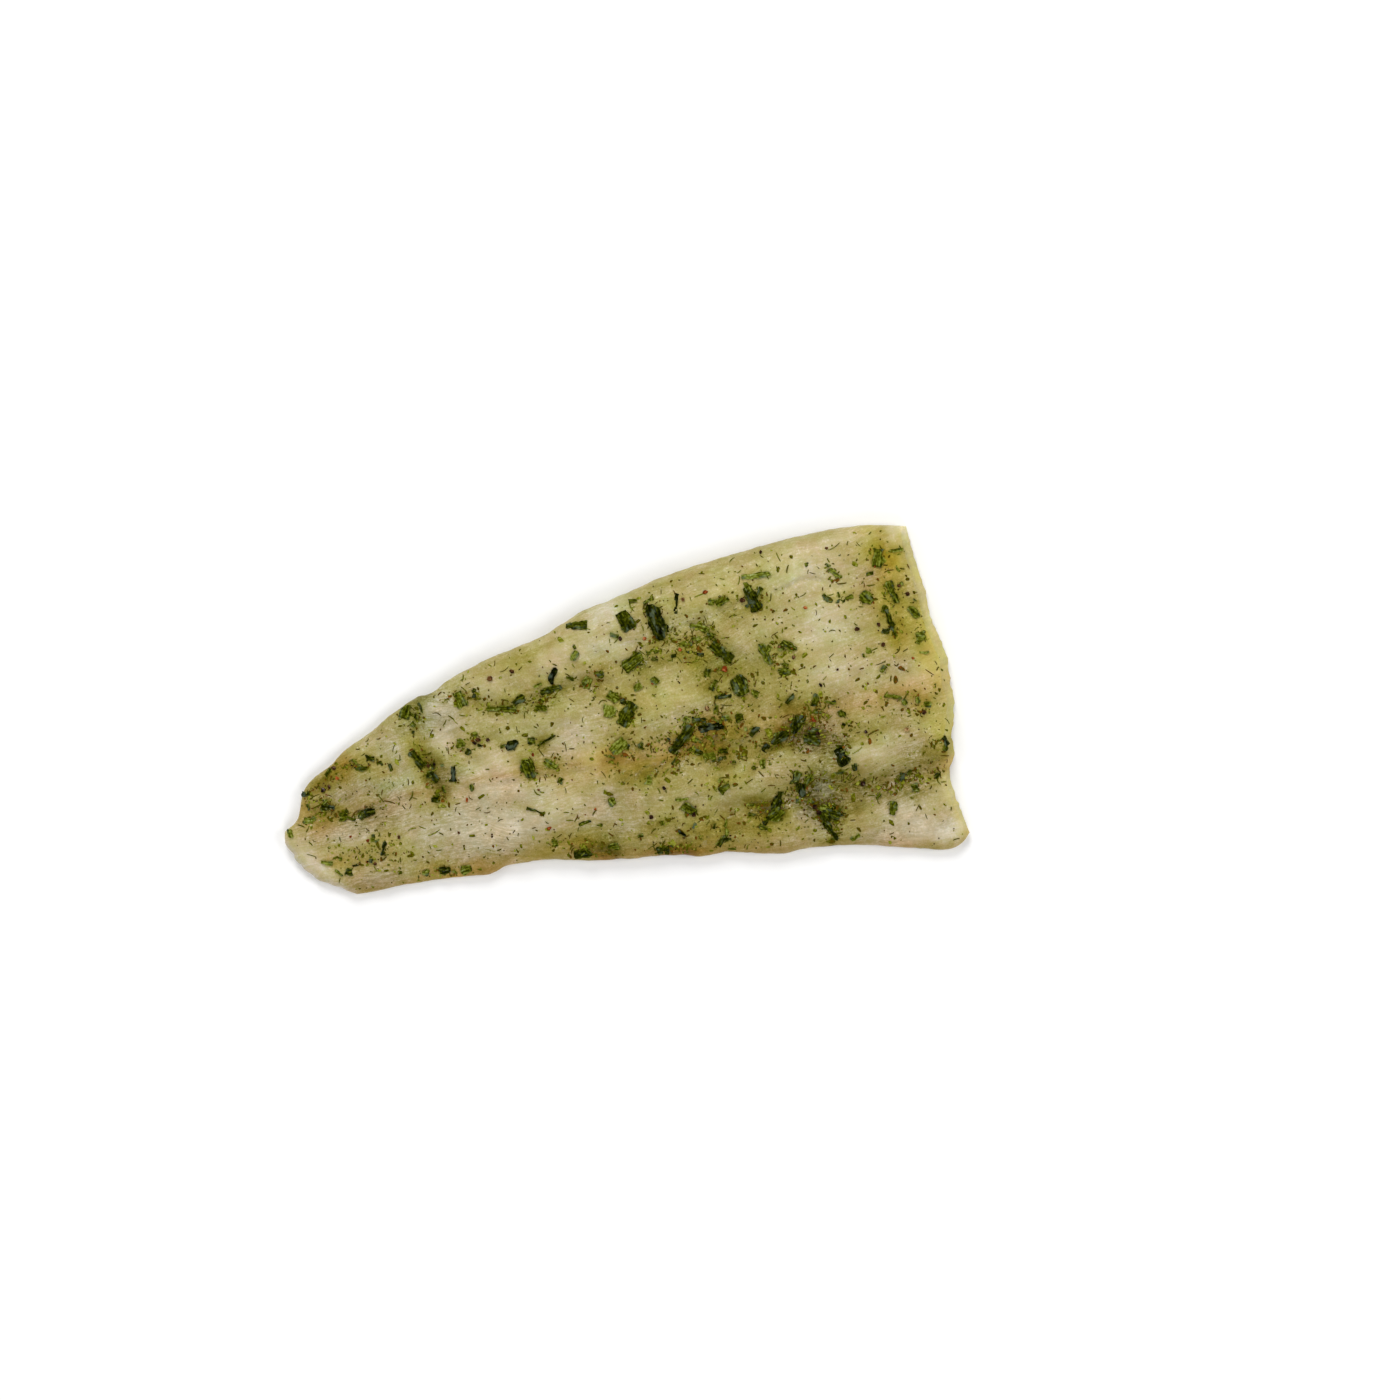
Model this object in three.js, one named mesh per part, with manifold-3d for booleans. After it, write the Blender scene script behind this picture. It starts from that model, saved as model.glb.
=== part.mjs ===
// A raw cod fillet, skinned and boned, seasoned on its upper side with chopped herbs and cracked
// pepper. It lies flat: the tail end is at -X, the knife cut of the wide end at +X, the thicker
// back edge at +Y and the thin belly edge at -Y. Millimetres, +Z up, the origin under the middle.
//
// The flesh is one sheet whose rim follows four edge curves. Its upper side is a height over the
// board: a smooth loin, less the seams and folds that run along it, plus the swells between them.
// The larger pieces of herb and pepper are draped on that height and joined to the flesh.

import * as THREE from "three";
import { mergeVertices } from "three/addons/utils/BufferGeometryUtils.js";
import Module from "manifold-3d";

// ---------------------------------------------------------------- driving dimensions

const LOIN_THICKNESS = 12.5; // the thick of the back, a third of the way from the cut end
const TAIL_THICKNESS = 6.5;
const CUT_THICKNESS = 10.5; // at the wide end
const BELLY_SHARE = 0.62; // the belly flap's thickness, as a share of the back's
const BELLY_REACH = 46; // from the middle seam down to where the flap is thinnest
const RIM = 2; // thickness of the flesh at its very edge
const RIM_UNDERCUT = 1.3; // how far the rim overhangs the flat underside
const SHOULDER = 8; // width over which the upper side rounds down to the rim
const CUT_STEEPNESS = 2.3; // rise over run of the knife cut

const LUMP = 0.34; // height of the longest waves of the uneven flesh
const LUMP_LENGTH = 42;
const LUMP_WAVES = 7;
const FLAKE = 0.28; // height of the chevron ripples, one to each flake of muscle
const FLAKE_LENGTH = 13;
const FLAKE_SLANT = 0.8;
const RAGGED = 0.35; // unevenness of the torn and trimmed edges

const CELLS_LONG = 77;
const CELLS_ACROSS = 28;
const GOLDEN = 2.399963; // radians, the golden angle

// ---------------------------------------------------------------- the four edges, seen from above

// Tail end, from its belly corner to its back corner.
const TAIL_END = [
  [-105, -22.4], [-110, -18.8], [-116.8, -13.9], [-121.4, -8.7], [-124.2, -1.6], [-125.8, 3.4],
  [-124.6, 6.6],
];
// Back edge, from the tail to the cut.
const BACK_EDGE = [
  [-124.6, 6.6], [-119, 9.8], [-114.6, 18.4], [-109.5, 22.8], [-102, 25.6], [-96, 29.7], [-87, 32.7],
  [-78, 37.1], [-66, 41.5], [-60.5, 41.6], [-50.5, 45.3], [-36, 48.5], [-15, 51.4], [0, 56], [16, 58.3],
  [36, 61.2], [58, 62.2], [88, 62.3], [109, 60.1], [124, 55.8],
];
// Knife cut, from the belly corner to the back corner. The seam of the belly flap leaves a notch in it.
const CUT_END = [
  [117.4, -58.6], [116.4, -48], [115.8, -40], [116.5, -34], [119.4, -29.4], [120.3, -23], [123.8, -13],
  [125.4, 1], [125.8, 12], [124.3, 20], [124.6, 32], [124, 46], [124, 55.8],
];
// Belly edge, from the tail to the cut.
const BELLY_EDGE = [
  [-105, -22.4], [-99, -23], [-87, -23.6], [-72, -25.2], [-56, -27.8], [-49, -26.5], [-34, -28.3],
  [-20, -32.4], [-4, -35.9], [11, -38.5], [20, -41.5], [31, -42.8], [48, -48], [60, -49], [78, -52.8],
  [99, -59.8], [108.5, -62.6], [114, -61.4], [117.4, -58.6],
];

// ---------------------------------------------------------------- relief of the upper side

// The middle seam, where the two halves of the muscle meet.
const MIDDLE_SEAM = [[-88, 4.8], [-70, 6], [-50, 3.2], [-20, 0.3], [4, -2.4]];

// The grooves, which part the flesh, and the swells between them. Each is a soft wave of that rise,
// negative for a groove, and that half width, along the line it follows.
const FOLDS = [
  { rise: -0.7, spread: 1.5, line: MIDDLE_SEAM },
  { rise: -1.5, spread: 2.6, line: [[-114, 9.5], [-105, 6.8], [-96, 5.4], [-88, 4.8]] },
  { rise: -2.1, spread: 3, line: [[-69, 37], [-67.5, 28], [-70, 22], [-67.5, 15], [-65, 5]] },
  { rise: -1.9, spread: 2.8, line: [[-52, 41], [-46, 34], [-38, 29.5], [-30, 28], [-20, 30], [-8, 31]] },
  { rise: -1.6, spread: 2.8, line: [[-6, 31], [3, 28.5], [12, 24]] },
  { rise: -1.5, spread: 3.6, line: [[10, 33], [20, 36.6], [31, 37], [40, 33], [50, 25]] },
  { rise: -0.6, spread: 1.5, line: [[14, 39.4], [34, 41], [58, 43.6]] },
  { rise: -0.7, spread: 1.4, line: [[73, 43.8], [80, 45.8], [87, 44]] },
  { rise: -2.3, spread: 4.6, line: [[-2, -2.6], [20, -3.6], [38, -6], [54, -10], [66, -11.6], [78, -13]] },
  { rise: -2.4, spread: 3, line: [[34, -27], [50, -28.6], [68, -28], [88, -30.8], [104, -33], [118, -34]] },
  { rise: -1.8, spread: 2.6, line: [[66, -27], [64.6, -34], [66, -41], [68.6, -49]] },
  { rise: -0.8, spread: 1.3, line: [[56.4, -30], [58, -39], [60, -47]] },
  { rise: -0.9, spread: 4.5, line: [[111, 52], [113, 38], [110, 18]] },
  { rise: -0.9, spread: 3, line: [[-100, 17], [-88, 23], [-82, 30]] },
  { rise: 1.1, spread: 8, line: [[-86, -9], [-56, -10], [-26, -13]] },
  { rise: 1.5, spread: 5.4, line: [[4, -15], [34, -17.5], [68, -20], [90, -24], [112, -27]] },
  { rise: 0.9, spread: 8, line: [[14, 15], [32, 13]] },
  { rise: 0.9, spread: 10, line: [[78, 21], [100, 14]] },
  { rise: 0.8, spread: 6, line: [[-36, 41], [-8, 45], [12, 48]] },
  { rise: 0.8, spread: 4.4, line: [[-52, 27], [-30, 21], [-8, 21]] },
  { rise: 0.7, spread: 5, line: [[-112, -3], [-92, -8]] },
  { rise: 0.8, spread: 5, line: [[88, -45], [108, -50]] },
];

// ---------------------------------------------------------------- the seasoning

const LEAF_RISE = 0.75; // how far a piece of leaf stands up from the flesh
const LEAF_SINK = 0.7;
const LEAF_CURL = 0.25; // up and down along its rim
const LEAF_CROWN = 1.15; // how much more it stands up in its middle
const LARGE_CORNERS = 8;
const MEDIUM_CORNERS = 6;

// The large pieces of chopped leaf: place, length, width, and turn from the long axis in degrees.
const LARGE_LEAVES = [
  [-1, 52.6, 8, 3, -12], [16, 48.6, 7.6, 4.6, 105], [26.6, 45.5, 13.6, 4.6, 95],
  [14.6, 33.6, 8.4, 4.4, 22], [46.6, 28.6, 10, 3.6, -55], [62.6, 44.4, 10, 4.6, 102],
  [62, 23.6, 9, 2.4, -75], [71, 24.6, 6, 2.6, -45], [50, 15, 7.4, 4.6, 100], [7.6, 16, 9.6, 4.8, 48],
  [-32, 5.8, 7, 4.6, 95], [-35.6, 15.4, 5.6, 2.2, 15], [-36, 29.4, 11, 2, -15], [-17, 31.4, 8, 2.2, 0],
  [-22, 26, 4.4, 2.2, -20], [-49.6, 36.4, 5.4, 3, 100], [-70.4, 37.6, 5.2, 3.2, 60],
  [-70.4, 19.6, 7.2, 2.4, -65], [-66.6, 16, 4.4, 2.8, 0], [-59, 11, 5.8, 2, 75],
  [-106.6, 11, 4.8, 3, -20], [-92.6, 5.6, 4.4, 2.2, 0], [-71.4, -22.4, 4.4, 2.4, -10],
  [-21, -29.4, 6.4, 2.6, -10], [24.6, 1.6, 12.6, 3.6, 40], [36, 3.2, 9.4, 2.4, -8],
  [75, 2.8, 4.4, 2.8, 60], [79, -19.4, 6.4, 4.4, 100], [112.4, 33.6, 8.2, 2.4, -85],
  [109, 23, 10, 1.8, -85], [118, 24.4, 5.2, 3, -55], [110.6, 47, 7, 3.6, 70], [66, 52.2, 10.6, 1.7, -8],
  [68.6, -45, 8.2, 2.2, -70], [92.6, -42.4, 5.4, 2.4, 70], [-14.6, 36.4, 6.4, 2, 50], [59, -7, 7, 3, 20],
  [66, -4, 6.6, 3, 62], [70, -11, 6, 3, -30], [20.6, -23.4, 5.6, 2.6, -45],
];

// Where the marinade gathered: place and radius. Two medium pieces of leaf lie in each.
const GATHERINGS = [
  [-108, 13, 8], [-93, 21, 7], [-95, -10, 10], [-68, 34, 5], [-66, 12, 6], [-70, -22, 7], [-50, 19, 6],
  [-49, 36, 5], [-33, 29, 6], [-20, 30, 6], [-18, -27, 7], [-1, 29, 6], [2, 2, 6], [8, 16, 6],
  [10, -34, 7], [20, -5, 9], [25, 2, 7], [30, -36, 7], [36, 3, 6], [44, 35, 8], [48, 26, 6], [45, -5, 8],
  [50, 14, 7], [50, -30, 8], [62, -7, 8], [63, -27, 6], [64, 45, 6], [67, 17, 6], [68, -37, 6],
  [73, -10, 6], [100, -32, 9], [112, 38, 8], [110, 22, 8], [112, -12, 8], [116, -22, 5], [35, -20, 6],
];
const MEDIUM_LEAF = [3.6, 2.2]; // length and width

// The larger grains of cracked pepper.
const PEPPER_RADIUS = 1.15;
const PEPPER_RISE = 0.25; // the middle of a grain above the flesh
const PEPPER = [
  [-101, 23.4], [-104.6, 18.4], [-94.8, -13], [-88, 2.6], [-63, -10], [-47.4, 20.8], [-43.6, 19.6],
  [-28, 41.6], [-29.4, 10.2], [1, 28], [14, -14], [6.6, -22.8], [22.4, -26], [36.6, 10], [38, 51],
  [58.6, 44.8], [67.6, 25], [71.4, 20.2], [66.4, -12.4], [85, -31.4], [90.4, -12.8], [104.4, -15.8],
  [112.4, -11.4], [104.6, 23.4],
];

// ---------------------------------------------------------------- plane geometry

const smooth = (t) => {
  const c = Math.min(1, Math.max(0, t));
  return c * c * (3 - 2 * c);
};

const mix = (a, b, t) => a + (b - a) * t;

// A smooth curve through the points, as points one spacing apart.
function traced(points, spacing = 1.5) {
  const curve = new THREE.SplineCurve(points.map(([x, y]) => new THREE.Vector2(x, y)));
  return curve.getSpacedPoints(Math.max(4, Math.ceil(curve.getLength() / spacing)));
}

function distanceTo(path, x, y) {
  let nearest = Infinity;
  for (let i = 1; i < path.length; i++) {
    const a = path[i - 1];
    const dx = path[i].x - a.x;
    const dy = path[i].y - a.y;
    const share = ((x - a.x) * dx + (y - a.y) * dy) / (dx * dx + dy * dy);
    const t = Math.min(1, Math.max(0, share));
    nearest = Math.min(nearest, Math.hypot(x - a.x - t * dx, y - a.y - t * dy));
  }
  return nearest;
}

// Height of a path's y over the long axis, for a path that runs along it.
function heightOf(path, x) {
  const i = Math.max(1, path.findIndex((p) => p.x >= x));
  const a = x > path.at(-1).x ? path.at(-2) : path[i - 1];
  const b = x > path.at(-1).x ? path.at(-1) : path[i];
  return mix(a.y, b.y, Math.min(1, Math.max(0, (x - a.x) / (b.x - a.x))));
}

// Knife marks and torn fibres: small waves along an edge that die out at its two corners.
function ragged(path, along) {
  const last = path.length - 1;
  return path.map((p, i) => {
    const travel = along === "x" ? p.x : p.y;
    const wave = Math.sin(travel / 2.1) + 0.7 * Math.sin(travel / 1.23 + 2);
    const shift = RAGGED * wave * Math.sin((Math.PI * i) / last);
    return along === "x" ? new THREE.Vector2(p.x, p.y + shift) : new THREE.Vector2(p.x + shift, p.y);
  });
}

const edges = {
  tail: ragged(traced(TAIL_END), "y"),
  back: ragged(traced(BACK_EDGE), "x"),
  cut: ragged(traced(CUT_END), "y"),
  belly: ragged(traced(BELLY_EDGE), "x"),
};
const seam = traced([[-126, 4], ...MIDDLE_SEAM, [60, -4], [126, -2]]);
const folds = FOLDS.map((fold) => ({ ...fold, path: traced(fold.line) }));

// ---------------------------------------------------------------- the upper side as a height

// Thickness of the smooth fillet: thin at the tail, full at the loin, thinner in the belly flap.
function loin(x, y) {
  const rising = mix(TAIL_THICKNESS, LOIN_THICKNESS, smooth((x + 126) / 150));
  const full = mix(rising, CUT_THICKNESS, smooth((x - 40) / 80));
  const below = smooth((heightOf(seam, x) - y) / BELLY_REACH);
  return full * mix(1, BELLY_SHARE, below);
}

// Uneven flesh: a few long waves, each shorter and lower than the last, turned by the golden angle.
function lumps(x, y) {
  let sum = 0;
  for (let i = 0; i < LUMP_WAVES; i++) {
    const turn = i * GOLDEN;
    const length = LUMP_LENGTH * 0.76 ** i;
    const travel = x * Math.cos(turn) * 0.7 + y * Math.sin(turn) * 1.3;
    sum += LUMP * 0.82 ** i * Math.sin((2 * Math.PI * travel) / length + i * i);
  }
  return sum;
}

// The flakes of muscle meet the middle seam as chevrons that point at the wide end.
function flakes(x, y) {
  const off = Math.abs(y - heightOf(seam, x));
  const travel = x + FLAKE_SLANT * off + 1.5 * Math.sin(off / 6);
  return FLAKE * Math.sin((2 * Math.PI * travel) / FLAKE_LENGTH);
}

function surface(x, y) {
  const fromEdge = Math.min(...[edges.tail, edges.back, edges.belly].map((edge) => distanceTo(edge, x, y)));
  const inward = Math.min(1, fromEdge / SHOULDER);
  const shoulder = Math.sqrt(1 - (1 - inward) ** 2);
  let height = loin(x, y) + lumps(x, y) + flakes(x, y);
  for (const { rise, spread, path } of folds) {
    height += rise * Math.exp(-((distanceTo(path, x, y) / spread) ** 2));
  }
  const rounded = RIM + Math.max(0, height - RIM) * shoulder;
  return Math.min(rounded, RIM + CUT_STEEPNESS * distanceTo(edges.cut, x, y));
}

// ---------------------------------------------------------------- the flesh as a closed mesh

// A point of a sampled edge at a share of its length.
function pointAt(path, share) {
  const place = share * (path.length - 1);
  const i = Math.min(path.length - 2, Math.floor(place));
  return path[i].clone().lerp(path[i + 1], place - i);
}

// The sheet between the four edges: s runs from the tail to the cut, t from the belly to the back.
function between(s, t) {
  const across = pointAt(edges.belly, s).multiplyScalar(1 - t).add(pointAt(edges.back, s).multiplyScalar(t));
  const along = pointAt(edges.tail, t).multiplyScalar(1 - s).add(pointAt(edges.cut, t).multiplyScalar(s));
  const corners = pointAt(edges.belly, 0).multiplyScalar((1 - s) * (1 - t))
    .add(pointAt(edges.belly, 1).multiplyScalar(s * (1 - t)))
    .add(pointAt(edges.back, 0).multiplyScalar((1 - s) * t))
    .add(pointAt(edges.back, 1).multiplyScalar(s * t));
  return across.add(along).sub(corners);
}

// Shares from 0 to 1 that lie closer together at both ends, where the shoulder rounds down.
const crowded = (i, count) => mix(i / count, (1 - Math.cos((Math.PI * i) / count)) / 2, 0.6);

// Rows of vertex numbers walked once round the rim, counter-clockwise seen from above.
function rimOf(index) {
  const rim = [];
  for (let i = 0; i < CELLS_LONG; i++) rim.push(index(i, 0));
  for (let j = 0; j < CELLS_ACROSS; j++) rim.push(index(CELLS_LONG, j));
  for (let i = CELLS_LONG; i > 0; i--) rim.push(index(i, CELLS_ACROSS));
  for (let j = CELLS_ACROSS; j > 0; j--) rim.push(index(0, j));
  return rim;
}

function fleshGeometry() {
  const index = (i, j) => i * (CELLS_ACROSS + 1) + j;
  const points = [];
  const faces = [];
  for (let i = 0; i <= CELLS_LONG; i++) {
    for (let j = 0; j <= CELLS_ACROSS; j++) {
      const p = between(crowded(i, CELLS_LONG), crowded(j, CELLS_ACROSS));
      const onRim = i % CELLS_LONG === 0 || j % CELLS_ACROSS === 0;
      points.push([p.x, p.y, onRim ? RIM : surface(p.x, p.y)]);
    }
  }
  for (let i = 0; i < CELLS_LONG; i++) {
    for (let j = 0; j < CELLS_ACROSS; j++) {
      const [a, b, c, d] = [index(i, j), index(i + 1, j), index(i + 1, j + 1), index(i, j + 1)];
      faces.push(...((i + j) % 2 ? [a, b, c, a, c, d] : [a, b, d, b, c, d]));
    }
  }
  // The underside is one flat face, set in from the rim all round.
  const rim = rimOf(index);
  const sole = rim.map((_, k) => {
    const [before, here, after] = [rim.at(k - 1), rim[k], rim[(k + 1) % rim.length]].map((v) => points[v]);
    const run = new THREE.Vector2(after[0] - before[0], after[1] - before[1]).normalize();
    return new THREE.Vector2(here[0] - RIM_UNDERCUT * run.y, here[1] + RIM_UNDERCUT * run.x);
  });
  const first = points.length;
  sole.forEach((p) => points.push([p.x, p.y, 0]));
  rim.forEach((v, k) => {
    const next = (k + 1) % rim.length;
    faces.push(v, first + k, first + next, v, first + next, rim[next]);
  });
  for (const [a, b, c] of THREE.ShapeUtils.triangulateShape(sole, [])) {
    faces.push(first + a, first + c, first + b);
  }
  return geometryOf(points, faces);
}

function geometryOf(points, faces) {
  return new THREE.BufferGeometry()
    .setAttribute("position", new THREE.Float32BufferAttribute(points.flat(), 3))
    .setIndex(faces);
}

// ---------------------------------------------------------------- herbs and pepper

// A thin wavy piece of chopped leaf, draped on the flesh, both faces split alike from the middle.
function leafGeometry([x, y, length, width, degrees], k, corners) {
  const turn = THREE.MathUtils.degToRad(degrees);
  const points = [];
  for (const side of [LEAF_RISE, -LEAF_SINK]) {
    points.push([x, y, surface(x, y) + side * LEAF_CROWN]);
    for (let c = 0; c < corners; c++) {
      const a = (2 * Math.PI * (c + 0.5)) / corners;
      const reach = 0.56 + 0.07 * Math.sin(k * 5.1 + c * 2.7);
      const [u, v] = [Math.cos(a) * reach * length, Math.sin(a) * reach * width];
      const px = x + u * Math.cos(turn) - v * Math.sin(turn);
      const py = y + u * Math.sin(turn) + v * Math.cos(turn);
      const curl = side > 0 ? LEAF_CURL * Math.sin(k * 3.3 + c * 1.9) : 0;
      points.push([px, py, surface(px, py) + side + curl]);
    }
  }
  const faces = [];
  const under = corners + 1;
  for (let c = 1; c <= corners; c++) {
    const n = (c % corners) + 1;
    faces.push(0, c, n, under, under + n, under + c, c, under + c, under + n, c, under + n, n);
  }
  return geometryOf(points, faces);
}

// A cracked grain, flattened and turned a little further for each one.
function pepperGeometry([x, y], k) {
  const grain = new THREE.IcosahedronGeometry(PEPPER_RADIUS * (1 + 0.18 * Math.sin(k * 2.3)));
  grain.rotateZ(k * GOLDEN).scale(1.1, 0.95, 0.8);
  return grain.translate(x, y, surface(x, y) + PEPPER_RISE);
}

// Two medium pieces for each place where the marinade gathered, on opposite sides of its middle.
function mediumLeaves() {
  return GATHERINGS.flatMap(([x, y, radius], g) =>
    [0, 1].map((half) => {
      const turn = g * GOLDEN + half * Math.PI;
      const reach = radius * (0.5 + 0.25 * half);
      const place = [x + reach * Math.cos(turn), y + reach * Math.sin(turn)];
      return [...place, ...MEDIUM_LEAF, THREE.MathUtils.radToDeg(turn * 3)];
    }),
  );
}

// ---------------------------------------------------------------- joining and the finished group

const wasm = await Module();
wasm.setup();

function solidOf(geometry) {
  const bare = geometry.clone();
  ["normal", "uv"].forEach((name) => bare.deleteAttribute(name));
  const merged = mergeVertices(bare, 1e-4);
  return new wasm.Manifold(new wasm.Mesh({
    numProp: 3,
    vertProperties: merged.attributes.position.array,
    triVerts: new Uint32Array(merged.index.array),
  }));
}

function geometryFrom(solid) {
  const { vertProperties, triVerts } = solid.getMesh();
  const geometry = new THREE.BufferGeometry()
    .setAttribute("position", new THREE.Float32BufferAttribute(vertProperties, 3))
    .setIndex(new THREE.BufferAttribute(triVerts, 1));
  geometry.computeVertexNormals();
  return geometry;
}

// Moves a geometry so that the middle of its box is over the origin and its underside at zero.
function stoodOnOrigin(geometry) {
  geometry.computeBoundingBox();
  const middle = geometry.boundingBox.getCenter(new THREE.Vector3());
  return geometry.translate(-middle.x, -middle.y, -geometry.boundingBox.min.z);
}

const seasoning = [
  ...LARGE_LEAVES.map((leaf, k) => leafGeometry(leaf, k, LARGE_CORNERS)),
  ...mediumLeaves().map((leaf, k) => leafGeometry(leaf, k, MEDIUM_CORNERS)),
  ...PEPPER.map(pepperGeometry),
];
const seasoned = seasoning.reduce((whole, piece) => whole.add(solidOf(piece)), solidOf(fleshGeometry()));

const flesh = new THREE.MeshStandardMaterial({ color: 0xc9c69a, roughness: 0.35, metalness: 0 });
const fillet = new THREE.Mesh(stoodOnOrigin(geometryFrom(seasoned)), flesh);
fillet.name = "cod_fillet";

const part = new THREE.Group();
part.add(fillet);

export default part;
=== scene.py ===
import math

import bpy
import numpy as np
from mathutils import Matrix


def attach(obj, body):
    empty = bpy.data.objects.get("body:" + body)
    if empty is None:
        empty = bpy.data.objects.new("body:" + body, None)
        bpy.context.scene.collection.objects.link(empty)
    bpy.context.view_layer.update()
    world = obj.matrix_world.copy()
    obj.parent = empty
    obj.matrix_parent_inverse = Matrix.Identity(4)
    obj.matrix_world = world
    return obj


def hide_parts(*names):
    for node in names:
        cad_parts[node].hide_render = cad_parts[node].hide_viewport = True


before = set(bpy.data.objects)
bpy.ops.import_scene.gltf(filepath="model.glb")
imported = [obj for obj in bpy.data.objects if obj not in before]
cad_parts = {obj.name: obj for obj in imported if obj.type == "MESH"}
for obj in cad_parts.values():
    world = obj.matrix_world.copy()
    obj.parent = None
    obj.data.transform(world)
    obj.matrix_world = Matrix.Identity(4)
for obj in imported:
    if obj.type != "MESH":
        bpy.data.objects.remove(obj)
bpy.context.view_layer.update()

# ---- The view
# The fillet lies on a white table and is seen from straight above, turned a little so that it runs
# up to the right. A large soft window lamp stands beyond the top of the picture, and three weaker
# lamps stand for the pale walls of a dim room.

mm = 0.001
VIEW_WIDTH = 511 * mm  # of the table that the picture takes in
VIEW_MIDDLE = (34.3 * mm, 13.8 * mm)
VIEW_TURN = math.radians(-15)
LENS, SENSOR = 85, 36
camera_height = VIEW_WIDTH * LENS / SENSOR + 6 * mm

bpy.ops.object.camera_add(location=(*VIEW_MIDDLE, camera_height), rotation=(0, 0, VIEW_TURN))
camera = bpy.context.object
camera.data.lens = LENS
camera.data.sensor_width = SENSOR
bpy.context.scene.camera = camera

# Each lamp: its place to the right, up the picture and above the table, its size in metres, its watts.
LAMPS = [
    ("window", (-0.3, 1.2, 1), 0.9, 17.8),
    ("right_wall", (1.2, 0, 1), 1, 11.5),
    ("left_wall", (-1.2, 0, 1), 1, 6.7),
    ("front_wall", (0.1, -1.2, 1), 1, 9.6),
]
for name, (right, up, height), size, power in LAMPS:
    place = (
        VIEW_MIDDLE[0] + right * math.cos(VIEW_TURN) - up * math.sin(VIEW_TURN),
        VIEW_MIDDLE[1] + right * math.sin(VIEW_TURN) + up * math.cos(VIEW_TURN),
        height,
    )
    run = math.hypot(place[0] - VIEW_MIDDLE[0], place[1] - VIEW_MIDDLE[1])
    tilt = math.atan2(run, height)
    swing = math.atan2(place[1] - VIEW_MIDDLE[1], place[0] - VIEW_MIDDLE[0]) + math.pi / 2
    bpy.ops.object.light_add(type="AREA", location=place, rotation=(tilt, 0, swing))
    lamp = bpy.context.object
    lamp.name = name
    lamp.data.shape = "DISK"
    lamp.data.size = size
    lamp.data.energy = power

room = bpy.data.worlds.new("room")
room.use_nodes = True
room.node_tree.nodes["Background"].inputs["Color"].default_value = (1, 0.995, 0.985, 1)
room.node_tree.nodes["Background"].inputs["Strength"].default_value = 0.1
bpy.context.scene.world = room
bpy.context.scene.view_settings.view_transform = "Standard"


class Signal:
    """A socket of a material, so that shader maths reads as plain expressions."""

    def __init__(self, tree, socket=None):
        self.tree, self.socket = tree, socket

    def node(self, kind, settings, inputs, output=0):
        """Adds a node: its settings first, then the values or links of its sockets."""
        made = self.tree.nodes.new(kind)
        for name, value in settings.items():
            if name == "stops":
                while len(made.color_ramp.elements) < len(value):
                    made.color_ramp.elements.new(1)
                for stop, (place, colour) in zip(made.color_ramp.elements, value):
                    stop.position, stop.color = place, (*colour, 1)
            else:
                setattr(made, name, value)
        for name, value in inputs.items():
            if isinstance(value, Signal):
                self.tree.links.new(value.socket, made.inputs[name])
            else:
                made.inputs[name].default_value = value
        return Signal(self.tree, made.outputs[output])

    def math(self, operation, *values, clamp=False):
        settings = {"operation": operation, "use_clamp": clamp}
        return self.node("ShaderNodeMath", settings, dict(enumerate(values)))

    def __add__(self, other):
        return self.math("ADD", self, other)

    def __sub__(self, other):
        return self.math("SUBTRACT", self, other)

    def __rsub__(self, other):
        return self.math("SUBTRACT", other, self)

    def __mul__(self, other):
        return self.math("MULTIPLY", self, other)

    def __pow__(self, other):
        return self.math("POWER", self, other)

    __radd__, __rmul__ = __add__, __mul__

    def clamped(self):
        return self.math("ADD", self, 0, clamp=True)

    def between(self, low, high):
        """0 below low and 1 above high, with a soft step from one to the other."""
        inputs = {"Value": self, "From Min": low, "From Max": high}
        return self.node("ShaderNodeMapRange", {"interpolation_type": "SMOOTHSTEP"}, inputs)

    def mix(self, first, second):
        """The first colour where this signal is 0, and the second where it is 1."""
        first, second = (c if isinstance(c, Signal) else (*c, 1) for c in (first, second))
        settings = {"data_type": "RGBA", "clamp_factor": True}
        return self.node("ShaderNodeMix", settings, {0: self, 6: first, 7: second}, output=2)

    def noise(self, where, scale, stretch=(1, 1, 1), detail=2.0, rough=0.5):
        """Noise of one wave to 1/scale metres, with that stretch along the axes."""
        place = self.node("ShaderNodeMapping", {}, {"Vector": where, "Scale": stretch})
        inputs = {"Vector": place, "Scale": scale, "Detail": detail, "Roughness": rough}
        return self.node("ShaderNodeTexNoise", {}, inputs)


def material(name, **constants):
    """A material with one shader whose constant sockets are set: gives it, a signal and the shader."""
    made = bpy.data.materials.new(name)
    made.use_nodes = True
    shader = made.node_tree.nodes["Principled BSDF"]
    for socket, value in constants.items():
        shader.inputs[socket.replace("_", " ").title().replace("Ior", "IOR")].default_value = value
    return made, Signal(made.node_tree), shader


def feed(made, shader, **signals):
    """Joins each signal to the socket of the shader that has its name."""
    for name, signal in signals.items():
        made.node_tree.links.new(signal.socket, shader.inputs[name.replace("_", " ").title()])


def srgb(red, green, blue):
    """A colour as seen on a screen, 0 to 255, as the light it stands for."""
    return tuple(((c / 255 + 0.055) / 1.055) ** 2.4 if c > 10 else c / 3295 for c in (red, green, blue))


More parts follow.
